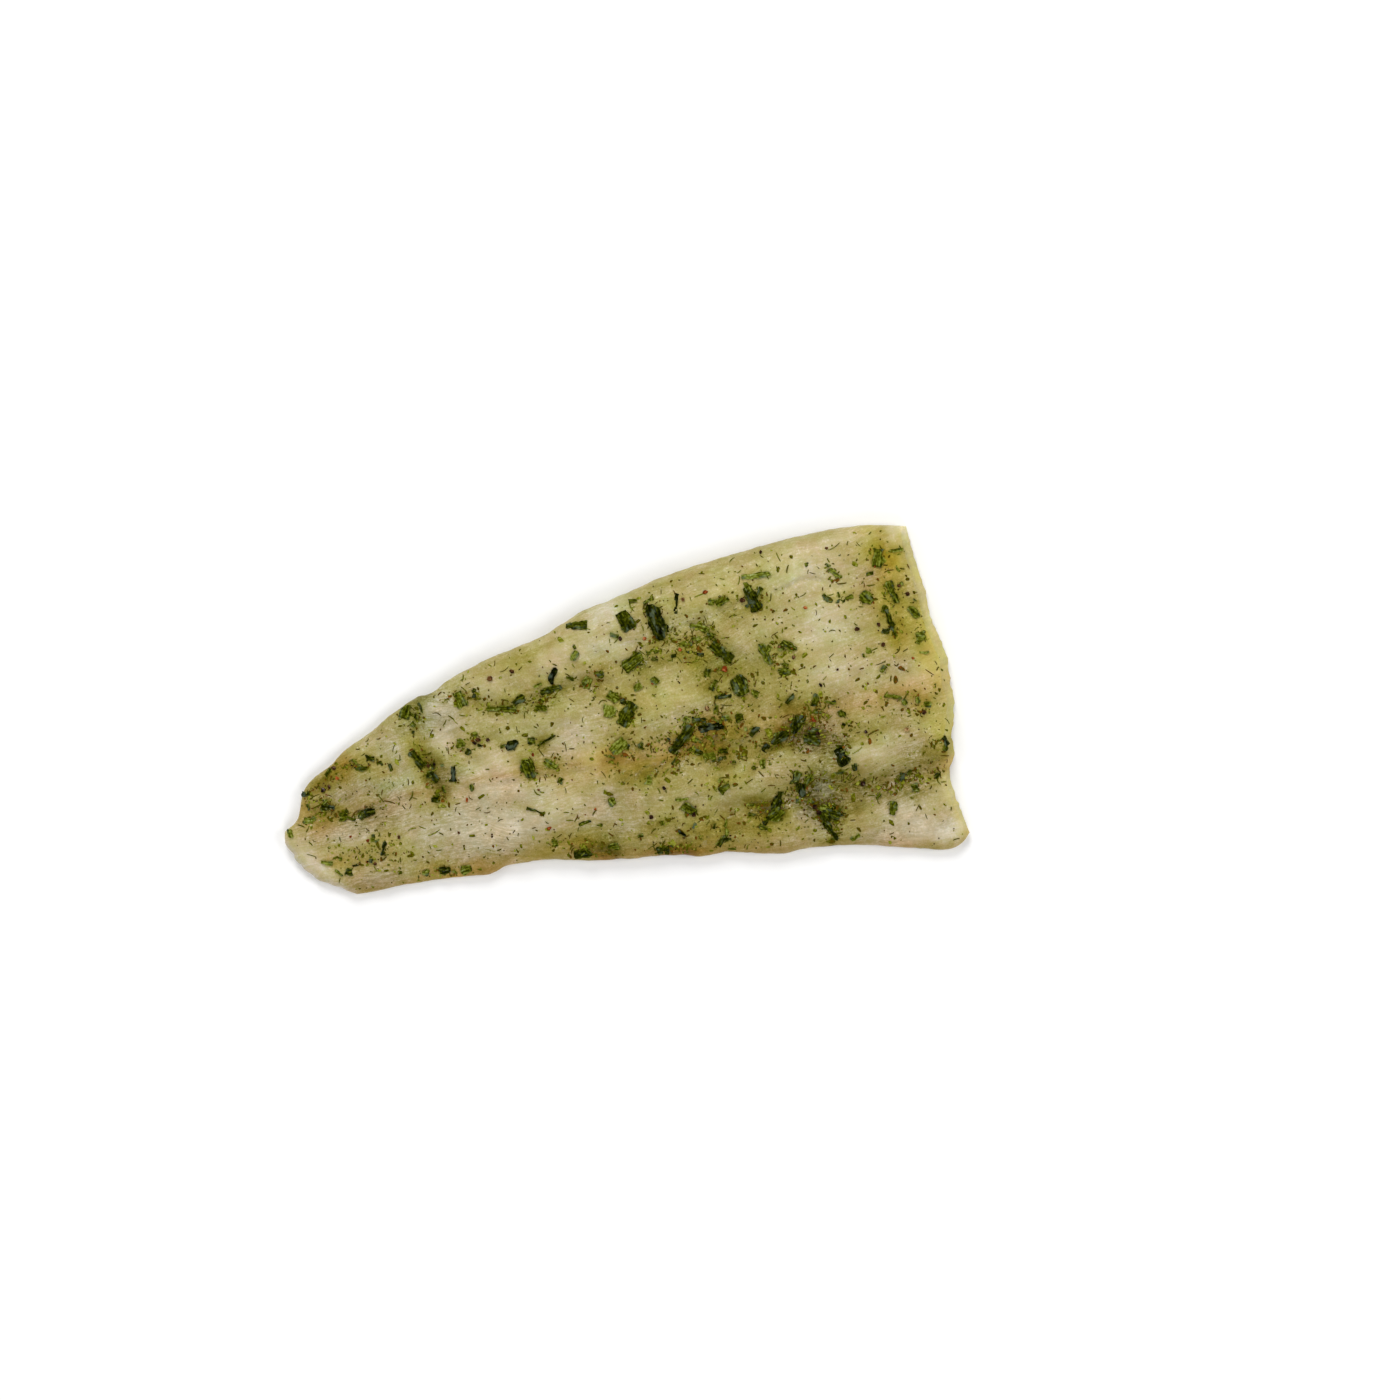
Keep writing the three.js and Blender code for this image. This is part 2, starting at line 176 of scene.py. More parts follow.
TABLE_SIZE = 4
bpy.ops.mesh.primitive_plane_add(size=TABLE_SIZE, location=(0, 0, 0))
table = bpy.context.object
table.name = "table"
paint, signal, shader = material("white_table", roughness=0.6)
cloud = signal.noise(signal.node("ShaderNodeTexCoord", {}, {}, output=3), 1.5)
tint = cloud.mix((0.93, 0.93, 0.93), (0.96, 0.96, 0.96))
feed(paint, shader, base_color=tint)
table.data.materials.append(paint)

# ---- The flesh
# One side of a cod, skinned and boned: soft wet muscle in chevron flakes either side of a middle
# seam, cut square at the wide end. It is a flat grid whose points are moved onto the four edges and
# up to the height of the flesh, with its rim then turned under and closed below.

LOIN_THICKNESS, TAIL_THICKNESS, CUT_THICKNESS = 12.5, 6.5, 10.5  # all of the flesh is in millimetres
BELLY_SHARE, BELLY_REACH = 0.62, 46
RIM, SHOULDER, CUT_STEEPNESS = 2, 8, 2.3
LUMP, LUMP_LENGTH, LUMP_WAVES = 0.34, 42, 7
FLAKE, FLAKE_LENGTH, FLAKE_SLANT = 0.28, 13, 0.8
RAGGED = 0.35
GOLDEN = 2.399963

TAIL_END = [
    (-105, -22.4), (-110, -18.8), (-116.8, -13.9), (-121.4, -8.7), (-124.2, -1.6), (-125.8, 3.4),
    (-124.6, 6.6),
]
BACK_EDGE = [
    (-124.6, 6.6), (-119, 9.8), (-114.6, 18.4), (-109.5, 22.8), (-102, 25.6), (-96, 29.7), (-87, 32.7),
    (-78, 37.1), (-66, 41.5), (-60.5, 41.6), (-50.5, 45.3), (-36, 48.5), (-15, 51.4), (0, 56), (16, 58.3),
    (36, 61.2), (58, 62.2), (88, 62.3), (109, 60.1), (124, 55.8),
]
CUT_END = [
    (117.4, -58.6), (116.4, -48), (115.8, -40), (116.5, -34), (119.4, -29.4), (120.3, -23), (123.8, -13),
    (125.4, 1), (125.8, 12), (124.3, 20), (124.6, 32), (124, 46), (124, 55.8),
]
BELLY_EDGE = [
    (-105, -22.4), (-99, -23), (-87, -23.6), (-72, -25.2), (-56, -27.8), (-49, -26.5), (-34, -28.3),
    (-20, -32.4), (-4, -35.9), (11, -38.5), (20, -41.5), (31, -42.8), (48, -48), (60, -49), (78, -52.8),
    (99, -59.8), (108.5, -62.6), (114, -61.4), (117.4, -58.6),
]
MIDDLE_SEAM = [(-88, 4.8), (-70, 6), (-50, 3.2), (-20, 0.3), (4, -2.4)]
# Grooves, with a fall, and swells, with a rise: that height, half width and line.
GROOVES = [
    (-0.7, 1.5, MIDDLE_SEAM),
    (-1.5, 2.6, [(-114, 9.5), (-105, 6.8), (-96, 5.4), (-88, 4.8)]),
    (-2.1, 3, [(-69, 37), (-67.5, 28), (-70, 22), (-67.5, 15), (-65, 5)]),
    (-1.9, 2.8, [(-52, 41), (-46, 34), (-38, 29.5), (-30, 28), (-20, 30), (-8, 31)]),
    (-1.6, 2.8, [(-6, 31), (3, 28.5), (12, 24)]),
    (-1.5, 3.6, [(10, 33), (20, 36.6), (31, 37), (40, 33), (50, 25)]),
    (-0.5, 1.5, [(14, 39.4), (34, 41), (58, 43.6)]),
    (-1, 1, [(71, 44.4), (76, 45), (80, 46.2), (84, 46), (88, 44.4)]),
    (-2.3, 4.6, [(-2, -2.6), (20, -3.6), (38, -6), (54, -10), (66, -11.6), (78, -13)]),
    (-2.4, 3, [(34, -27), (50, -28.6), (68, -28), (88, -30.8), (104, -33), (118, -34)]),
    (-1.8, 2.6, [(66, -27), (64.6, -34), (66, -41), (68.6, -49)]),
    (-0.8, 1.3, [(56.4, -30), (58, -39), (60, -47)]),
    (-0.9, 4.5, [(111, 52), (113, 38), (110, 18)]),
    (-0.9, 3, [(-100, 17), (-88, 23), (-82, 30)]),
    (-0.7, 1, [(27, 40), (36, 41), (44, 41.4), (50, 42), (58, 43.8)]),
    (-0.6, 2.6, [(-53, 34), (-58, 31), (-64, 28)]),
]
SWELLS = [
    (1.1, 8, [(-86, -9), (-56, -10), (-26, -13)]),
    (1.5, 5.4, [(4, -15), (34, -17.5), (68, -20), (90, -24), (112, -27)]),
    (0.9, 8, [(14, 15), (32, 13)]),
    (0.9, 10, [(78, 21), (100, 14)]),
    (0.8, 6, [(-36, 41), (-8, 45), (12, 48)]),
    (0.8, 4.4, [(-52, 27), (-30, 21), (-8, 21)]),
    (0.7, 5, [(-112, -3), (-92, -8)]),
    (0.8, 5, [(88, -45), (108, -50)]),
    (0.5, 1.2, [(-50, 31), (-55, 29), (-60, 26), (-64, 23)]),
]

lattice = np.random.default_rng(11).random((512, 512))


def noise(x, y, length):
    """Smooth noise between -1 and 1, with waves of about that length."""
    x, y = x / length + 200.5, y / length + 200.5
    i, j = np.floor(x).astype(int), np.floor(y).astype(int)
    u, v = smooth(x - i), smooth(y - j)
    low = lattice[i % 512, j % 512] * (1 - u) + lattice[(i + 1) % 512, j % 512] * u
    high = lattice[i % 512, (j + 1) % 512] * (1 - u) + lattice[(i + 1) % 512, (j + 1) % 512] * u
    return 2 * (low * (1 - v) + high * v) - 1


def smooth(t):
    t = np.clip(t, 0, 1)
    return t * t * (3 - 2 * t)


def near(distance, reach):
    """1 on the spot, and falling off softly to a third at that reach."""
    return np.exp(-((distance / reach) ** 2))


def traced(points, spacing):
    """Points one spacing apart along a smooth curve through the given ones."""
    ends = np.array([points[0], *points, points[-1]], float)
    t = np.linspace(0, 1, 24, endpoint=False)[:, None]
    pieces = []
    for a, b, c, d in zip(ends, ends[1:], ends[2:], ends[3:]):
        out, into = (c - a) / 2, (d - b) / 2
        curve = b + out * t + (3 * (c - b) - 2 * out - into) * t**2
        pieces.append(curve + (2 * (b - c) + out + into) * t**3)
    dense = np.vstack([*pieces, ends[-1:]])
    travel = np.concatenate([[0], np.cumsum(np.hypot(*np.diff(dense, axis=0).T))])
    stops = np.linspace(0, travel[-1], max(4, math.ceil(travel[-1] / spacing)) + 1)
    return np.column_stack([np.interp(stops, travel, dense[:, k]) for k in (0, 1)])


def distance_to(path, x, y):
    nearest = np.full(np.shape(x), np.inf)
    for (ax, ay), (bx, by) in zip(path, path[1:]):
        dx, dy = bx - ax, by - ay
        t = np.clip(((x - ax) * dx + (y - ay) * dy) / (dx * dx + dy * dy), 0, 1)
        np.minimum(nearest, (x - ax - t * dx) ** 2 + (y - ay - t * dy) ** 2, out=nearest)
    return np.sqrt(nearest)


EDGE_SPACING = 0.7
NICK = 0.36  # the fine unevenness of a torn or trimmed edge


def ragged(points, along):
    """An edge curve with knife marks and torn fibres, which die out at its two corners."""
    path = traced(points, EDGE_SPACING)
    share = np.linspace(0, 1, len(path))
    travel = path[:, along]
    wave = RAGGED * (np.sin(travel / 2.1) + 0.7 * np.sin(travel / 1.23 + 2)) * np.sin(np.pi * share)
    nicks = noise(travel, travel * 0 + 7 * along, 1.5) + 0.7 * noise(travel, travel * 0 + 3, 4.3)
    nicks = nicks * (0.35 + 0.85 * along)  # the two cut ends are more torn than the trimmed sides
    path[:, 1 - along] += 0.3 * wave + NICK * nicks * np.clip(12 * share * (1 - share), 0, 1)
    return path


RUNS_ACROSS, RUNS_ALONG = 1, 0
tail, cut = ragged(TAIL_END, RUNS_ACROSS), ragged(CUT_END, RUNS_ACROSS)
back, belly = ragged(BACK_EDGE, RUNS_ALONG), ragged(BELLY_EDGE, RUNS_ALONG)
edges = [tail, back, cut, belly]
seam = traced([(-126, 4), *MIDDLE_SEAM, (60, -4), (126, -2)], 2)
folds = [(rise, spread, traced(line, 2)) for rise, spread, line in GROOVES + SWELLS]


def flake_travel(x, y):
    """How far along the chevrons a place is, in flakes. A whole number is the edge of one."""
    off = np.abs(y - np.interp(x, seam[:, 0], seam[:, 1]))
    return (x + FLAKE_SLANT * off + 1.5 * np.sin(off / 6)) / FLAKE_LENGTH


def flesh_height(x, y):
    """The upper side over the table: the smooth loin, its lumps and flakes, the grooves and the swells."""
    rising = TAIL_THICKNESS + (LOIN_THICKNESS - TAIL_THICKNESS) * smooth((x + 126) / 150)
    full = rising + (CUT_THICKNESS - rising) * smooth((x - 40) / 80)
    below = smooth((np.interp(x, seam[:, 0], seam[:, 1]) - y) / BELLY_REACH)
    height = full * (1 - (1 - BELLY_SHARE) * below)
    for i in range(LUMP_WAVES):
        turn = i * GOLDEN
        travel = x * math.cos(turn) * 0.7 + y * math.sin(turn) * 1.3
        height += LUMP * 0.82**i * np.sin(2 * np.pi * travel / (LUMP_LENGTH * 0.76**i) + i * i)
    height += FLAKE * np.sin(2 * np.pi * flake_travel(x, y))
    for rise, spread, path in folds:
        height += rise * near(distance_to(path, x, y), spread)
    height += fine_relief(x, y)
    from_edge = np.minimum.reduce([distance_to(edge, x, y) for edge in (tail, back, belly)])
    shoulder = np.sqrt(1 - (1 - np.minimum(1, from_edge / SHOULDER)) ** 2)
    rounded = RIM + np.maximum(0, height - RIM) * shoulder
    return np.minimum(rounded, RIM + CUT_STEEPNESS * distance_to(cut, x, y))


def fine_relief(x, y):
    """Low steps at the edges of the flakes, long fibres, and the dents of a wet soft surface."""
    wobble = 0.22 * noise(x, y, 9) + 0.1 * noise(x, y, 3.5)
    along = 3 * (flake_travel(x, y) + wobble)
    step = (along - np.floor(along)) ** 3 * smooth(0.5 + 1.2 * noise(x, y, 17))
    fibres = noise(x / 6, y + 1.5 * noise(x, y, 22), 1.8)
    return 0.24 * step + 0.1 * fibres + 0.07 * noise(x, y, 5.5) + 0.05 * noise(x, y, 2.6)


def store(mesh, name, kind, values):
    """Keeps a value of each point in the mesh, for its material to read."""
    layer = mesh.attributes.get(name) or mesh.attributes.new(name, kind, "POINT")
    layer.data.foreach_set("value" if kind == "FLOAT" else "vector", values.ravel())


def point_at(path, share):
    place = share * (len(path) - 1)
    return np.stack([np.interp(place, np.arange(len(path)), path[:, k]) for k in (0, 1)], axis=-1)


def sheet(s, t):
    """A place between the four edges: s runs from the tail to the cut, t from the belly to the back."""
    s, t = s[..., None], t[..., None]
    across = point_at(belly, s[..., 0]) * (1 - t) + point_at(back, s[..., 0]) * t
    along = point_at(tail, t[..., 0]) * (1 - s) + point_at(cut, t[..., 0]) * s
    corners = (belly[0] * (1 - s) + belly[-1] * s) * (1 - t) + (back[0] * (1 - s) + back[-1] * s) * t
    return across + along - corners


middle = (np.vstack(edges).max(axis=0) + np.vstack(edges).min(axis=0)) / 2

CELLS_LONG, CELLS_ACROSS = 400, 168
bpy.ops.object.select_all(action="DESELECT")
bpy.ops.mesh.primitive_grid_add(x_subdivisions=CELLS_LONG, y_subdivisions=CELLS_ACROSS, size=2)
flesh = bpy.context.object
flesh.name = "flesh"
count = len(flesh.data.vertices)
places = np.empty(3 * count)
flesh.data.vertices.foreach_get("co", places)
s, t = (places.reshape(-1, 3)[:, :2].T + 1) / 2
s, t = (0.4 * share + 0.6 * (1 - np.cos(np.pi * share)) / 2 for share in (s, t))
flat = sheet(s, t)
x, y = flat.T
on_rim = (s < 1e-6) | (s > 1 - 1e-6) | (t < 1e-6) | (t > 1 - 1e-6)
z = np.where(on_rim, RIM + 0.4 * noise(x, y, 6), flesh_height(x, y))
flesh.data.vertices.foreach_set("co", (np.column_stack([x - middle[0], y - middle[1], z]) * mm).ravel())

# The rim rolls under in three turns, each that much lower and smaller, and the last one is flat.
bpy.ops.object.mode_set(mode="EDIT")
bpy.ops.mesh.select_mode(type="EDGE")
bpy.ops.mesh.select_all(action="DESELECT")
bpy.ops.mesh.select_non_manifold()
for drop, shrink in [(0.7, 0.9985), (0.6, 0.9955)]:
    bpy.ops.mesh.extrude_edges_move(TRANSFORM_OT_translate={"value": (0, 0, -drop * mm)})
    bpy.ops.transform.resize(value=(shrink, 2 * shrink - 1, 1), center_override=(0, 0, 0))
bpy.ops.mesh.extrude_edges_move(TRANSFORM_OT_translate={"value": (0, 0, 0)})
bpy.ops.transform.resize(value=(0.994, 0.988, 0), center_override=(0, 0, 0))
bpy.ops.mesh.fill(use_beauty=False)
bpy.ops.mesh.select_all(action="SELECT")
bpy.ops.mesh.normals_make_consistent(inside=False)
bpy.ops.object.mode_set(mode="OBJECT")
bpy.ops.object.shade_smooth()
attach(flesh, "root")
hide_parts("cod_fillet")


# Where the marinade gathered and the herbs with it: x, y, half length, half width, how thickly, and the
# turn in degrees from the long axis, if any. All that is strewn over the flesh follows it. The two that
# are below 0 are painted highlights: the gleam of the room on the wet pools, painted as paler flesh with
# fewer herbs.
GATHERED_AND_GLEAMS = [
    (-113, 18, 4, 2.6, 0.8, 40), (-103, 21, 6, 3.6, 0.8, 35), (-92, 22, 7, 2.6, 0.9, -8),
    (-107, 11, 5, 3, 0.9, -20), (-113, 8.5, 4, 2.6, 0.6), (-95, 5.6, 9, 1.8, 1, -6),
    (-98, -9, 11, 6, 0.5, -20), (-70, -23, 13, 1.8, 0.7, -4), (-69, 20, 2.6, 6, 1, 10),
    (-66.5, 8, 2.4, 6, 1), (-68, 34.5, 4.6, 4, 0.9), (-53, 19, 6.5, 3.8, 0.8, 10),
    (-47, 20.6, 3.6, 2.4, 0.9), (-50, 36, 4, 3.6, 1), (-42, 35, 6, 2.4, 0.9, -40),
    (-34, 29, 7, 2.2, 1.2, -10), (-20, 30, 8, 2.4, 1.2, 5), (-2, 28, 4.6, 4.6, 1), (-38, 15, 4, 2, 0.5, 10),
    (-31.5, 5, 3.4, 4, 0.8), (-22, 5, 4, 3, 0.5), (8, 17, 5, 6, 0.8, 30), (2, 3, 6, 4.6, 0.8),
    (17, 34, 6.5, 3.4, 1, 10), (16, 48, 3.6, 4.6, 0.5), (26, 44, 4.6, 7, 0.9), (36, 35, 5, 5.6, 1),
    (44, 34, 3.6, 7, 0.8, 20), (45.5, 21.6, 4, 2.6, 0.7), (49, 14, 7, 3.6, 0.9), (52, 46.6, 5, 2.2, 0.5),
    (63.5, 44, 4, 5, 0.6, 20), (63.5, 24, 3.6, 5, 0.5), (71.5, 24, 3, 2.4, 0.25, -30),
    (66.5, 15, 5, 4.6, 0.9), (24, 3, 9, 5, 1.1, 35), (37, 4, 7, 4, 1), (34, -6, 15, 4.6, 0.7, -8),
    (47, -2, 5, 3, 0.5), (64, -7, 11, 5, 1.7, 12), (74.5, 1, 4, 4.6, 0.9, 20), (80, -17, 5, 6, 0.9, 20),
    (85, -8, 4, 4, 0.5), (35.5, -17, 4.6, 3.4, 0.7), (21.5, -24, 4, 3.4, 0.5, -40),
    (10, -28, 12, 5, 0.3, -10), (11, -36, 7, 3, 0.9, -12), (-18, -28, 11, 3.4, 0.8, -22),
    (30, -34, 11, 5, 0.4, -10), (50, -32, 7, 5, 0.9), (63.5, -26, 6, 5, 1.2), (67.5, -37, 5.6, 7, 1.3, 10),
    # The first two rows here paint the gleam of the room on the wet pools.
    (69, -30.4, 2.6, 2.6, -0.7), (65.8, -9.6, 2.6, 1.8, -0.7), (68.5, -47, 3, 4, 0.7),
    (80, -29, 8, 3, 0.7, -10), (101, -33.6, 15, 3.2, 1.2, -3), (115, -23.6, 5, 5, 0.7),
    (111, -10, 7, 6, 0.6), (102, -3, 6, 2.4, 0.4, -20), (112.4, 34, 2.4, 5, 0.6), (109.5, 22, 2.4, 5, 0.6),
    (118, 24, 3, 4, 0.6), (118, 15, 3.4, 3, 0.5), (110.5, 48, 3.6, 4, 0.6, 20), (102.6, 34, 4, 3.4, 0.6),
    (93.4, 45, 4, 3, 0.6, -40), (93, 36, 6, 2, 0.3), (-88, -5, 6, 5, 0.4, -40),
]


def patches(spots, x, y, spread=1.0):
    """The sum of soft patches at a place. A cover of 1 is full, and some of these lists go below 0."""
    x, y = x + 2.2 * noise(x, y, 8) + noise(x, y, 2.7), y + 2.2 * noise(y, x, 8) + noise(y, x, 2.7)
    total = np.zeros_like(x)
    for px, py, half_length, half_width, strength, *turn in spots:
        angle = math.radians(turn[0] if turn else 0)
        c, s = math.cos(angle), math.sin(angle)
        u = ((x - px) * c + (y - py) * s) / half_length / spread
        v = ((y - py) * c - (x - px) * s) / half_width / spread
        total += strength * np.exp(-(u**2) - v**2)
    return total


# Raw cod is milky where it is bare, and most else is what lies on it: dark juice, yellow oil or blood.
# Some patches are painted light instead: a few pale ones paint highlights and the gleam of the wet pools,
# and some dark ones paint shade along the deeper grooves and under the leaves in the pools.
# These are patches as above, and one that is below 0 has less than its surroundings.
MILKY_AND_HIGHLIGHTS = [
    (123, 55, 5, 4, 0.8), (117, 60, 8, 2.4, 0.5, -20), (-62, -7, 22, 6, 0.1, -7),
    # The row at 8, 53 is partly bare flesh and partly a painted highlight on the wet rise.
    (-44, -13, 16, 5, 0.42, -8), (-24, -9, 12, 7, 0.3), (8, 53, 9, 5, 0.75, 15), (8, 41, 9, 4, 0.5),
    (84, 27, 11, 8, 0.58), (78, 12, 12, 6, 0.35), (91, -20, 11, 3.6, 0.42, -10),
    (102, -51, 14, 6, 0.52, -25), (113, -58, 7, 5, 0.5), (-13, 13, 9, 7, 0.32), (-44, 10, 12, 5, 0.5),
    (-120, -6, 5, 9, 0.85, 25), (60, 53, 28, 5, 0.37, 5), (-25, 46, 14, 4, 0.3, 10),
    # The row at 124, 30 paints the cut face paler: bleached flesh, and painted light on its steep face.
    (124, 30, 2.4, 32, 0.5), (88, 48, 14, 8, 0.6), (100, 58, 16, 4, 0.4), (-11, 43, 12, 5, 0.55, 10),
    (-112, -15, 8, 4, 0.5, -30), (119, 9, 5, 12, 0.5), (112, 0, 9, 5, 0.35), (-8, 4, 6, 4, 0.4),
    (-38, 40, 12, 4, 0.35, 10), (25, 18, 14, 6, 0.25, -5), (68, 36, 7, 5, 0.3), (90, 9, 12, 5, 0.22),
    (115, -16, 6, 6, 0.3), (-57, 27.6, 7, 1.2, 0.5, 30), (-57, 34, 5, 3, 0.2, 30),
    (-40, 1, 16, 3.4, 0.38, -4), (92, 36, 9, 5, 0.3), (-80, 22, 4, 8, 0.15, 20),
    # The first two rows here paint the gleam of the room on the wet pools.
    (69, -30.4, 2.6, 2.4, 0.36), (65.8, -9.6, 2.6, 1.6, 0.4), (58, -32, 1.8, 6, 0.35),
    (98, -57, 14, 3, 0.35, -13), (0, 20, 5, 5, 0.2), (118, -44, 6, 6, 0.35), (108, -41, 8, 4, 0.3),
]
# Dark juice, and in places painted shade: along the deeper grooves and under the leaves in the pools.
STAINED_AND_SHADED = [
    (-124, 4, 4, 4, -0.4), (-114, 10, 4, 3, -0.3), (-108, 10, 5, 4, 0.38), (-106, 22, 6, 3, 0.4, 30),
    (-96, 0, 6, 4, -0.2), (-96, 14, 14, 8, 0.2, 20), (-96, 20, 5, 4, 0.25), (-91, 2, 9, 3, 0.5, -8),
    (-84, 10, 7, 4, 0.15), (-78, -22, 5, 2, -0.4, -4), (-72, -20, 8, 3, 0.2), (-72, 20, 4, 5, 0.2),
    (-68, 32, 5, 8, 0.3), (-67, 8, 4, 7, 0.3), (-65, -24, 5, 2, -0.5, -4), (-64, 12, 4, 6, 0.7),
    (-63, 42, 5, 3, 0.6, 20), (-60, 31, 5, 5, 0.2), (-60, 41, 5, 3, 0.4, 20), (-58, 21, 5, 4, -0.45),
    (-56, 11, 5, 3, 0.35), (-48, -21, 8, 3, 0.12, -4), (-47, -26, 7, 2, -0.25, -3), (-44, 37, 5, 3, 0.25),
    (-28, 8, 7, 4, 0.3), (-28, 31, 9, 3, 0.4), (-26, 14, 6, 3, 0.4, 10), (-26, 46, 12, 3.4, 0.4, 10),
    (-20, 44, 9, 3.4, 0.4, 10), (-18, -26, 10, 4, 0.3, -20), (-15, -21, 6, 3, 0.2),
    (-14, 29, 6, 3, 0.5, 10), (-14, 51, 8, 2, -0.2, 8), (-11, -27, 6, 4, 0.8, -10),
    (-7, -29, 6, 3, 0.3, -20), (-4, 33, 4, 2, -0.3), (1, 28, 5, 5, 0.3), (4, 56, 8, 2, 0.3, 15),
    (5, 10, 9, 4, 0.12), (5, 54, 5, 3, 0.35, 15), (8, -28, 5, 3, 0.25), (8, -6, 9, 4, 0.45),
    (9, -26, 5, 3, 0.3, -10), (10, -10, 12, 5, 0.25), (14, -38, 8, 3, 0.4, -12), (17, -1, 4, 3, -0.3),
    (18, 31, 5, 4, 0.5), (24, -34, 20, 4, 0.2, -8), (24, 1, 5, 4, 0.2), (27, 31, 6, 4, 0.35),
    (28, -27, 5, 3, 0.25), (28, 0, 6, 3, -0.35), (29, 41, 4, 4, 0.35), (34.6, -2, 10, 4.4, 0.6),
    (35, -32, 7, 3, 0.4, -8), (35, -8.5, 7, 4, 0.35), (35, 11, 5, 4, -0.15), (39, 6, 4, 3, -0.3),
    (40, 30, 5, 4, 0.3), (42, 14, 5, 5, 0.3), (43, 22, 6, 6, 0.4), (43, 26, 5, 5, 0.35), (47, 0, 6, 4, 0.2),
    (47, 15, 6, 4, -0.4), (48, 10, 14, 5, 0.3), (51, -31, 8, 4.4, 1.2, -10), (54, 20, 9, 4, 0.35),
    (56, -24, 5, 3, -0.3), (56, -12, 8, 4, 0.5), (57, 41, 7, 4, 0.35), (60, -24, 8, 3, 0.5),
    (60, -9, 4, 4, 0.58), (65.4, -31.4, 5, 4.4, 1), (66, 4, 6, 4, 0.6), (67, -36, 4, 4, 0.5),
    (67, -6, 10, 5, 0.7, 10), (68, -49, 4, 3, 0.35), (69, -25, 5, 4, 0.5), (69, -13, 4, 3, 0.25),
    (69.6, -1.5, 4, 3.2, 0.43), (70, -36, 4, 5, 0.7), (72, -10, 5, 4, 0.68), (73.6, -12.5, 4.6, 3.4, 0.7),
    (74, -30, 5, 4, 0.68), (75, -18, 6, 4, 0.85), (78, -39, 6, 4, 0.5), (82.4, -15.6, 4.6, 4, 0.7),
    (83, -40, 6, 3, 0.35, -10), (84, -32, 8, 4, 0.92), (94, 38, 5, 4, -0.2), (95, -11, 6, 4, 0.2),
    (96, 11, 6, 4, -0.14), (101, -38, 12, 3.4, 0.6, -5), (106, -25, 8, 4, 0.5, -10), (108, -30, 8, 3, 0.3),
    (108, 20, 4, 4, 0.12), (116, 45, 4, 4, -0.25), (120, -22, 4, 4, 0.25),
]
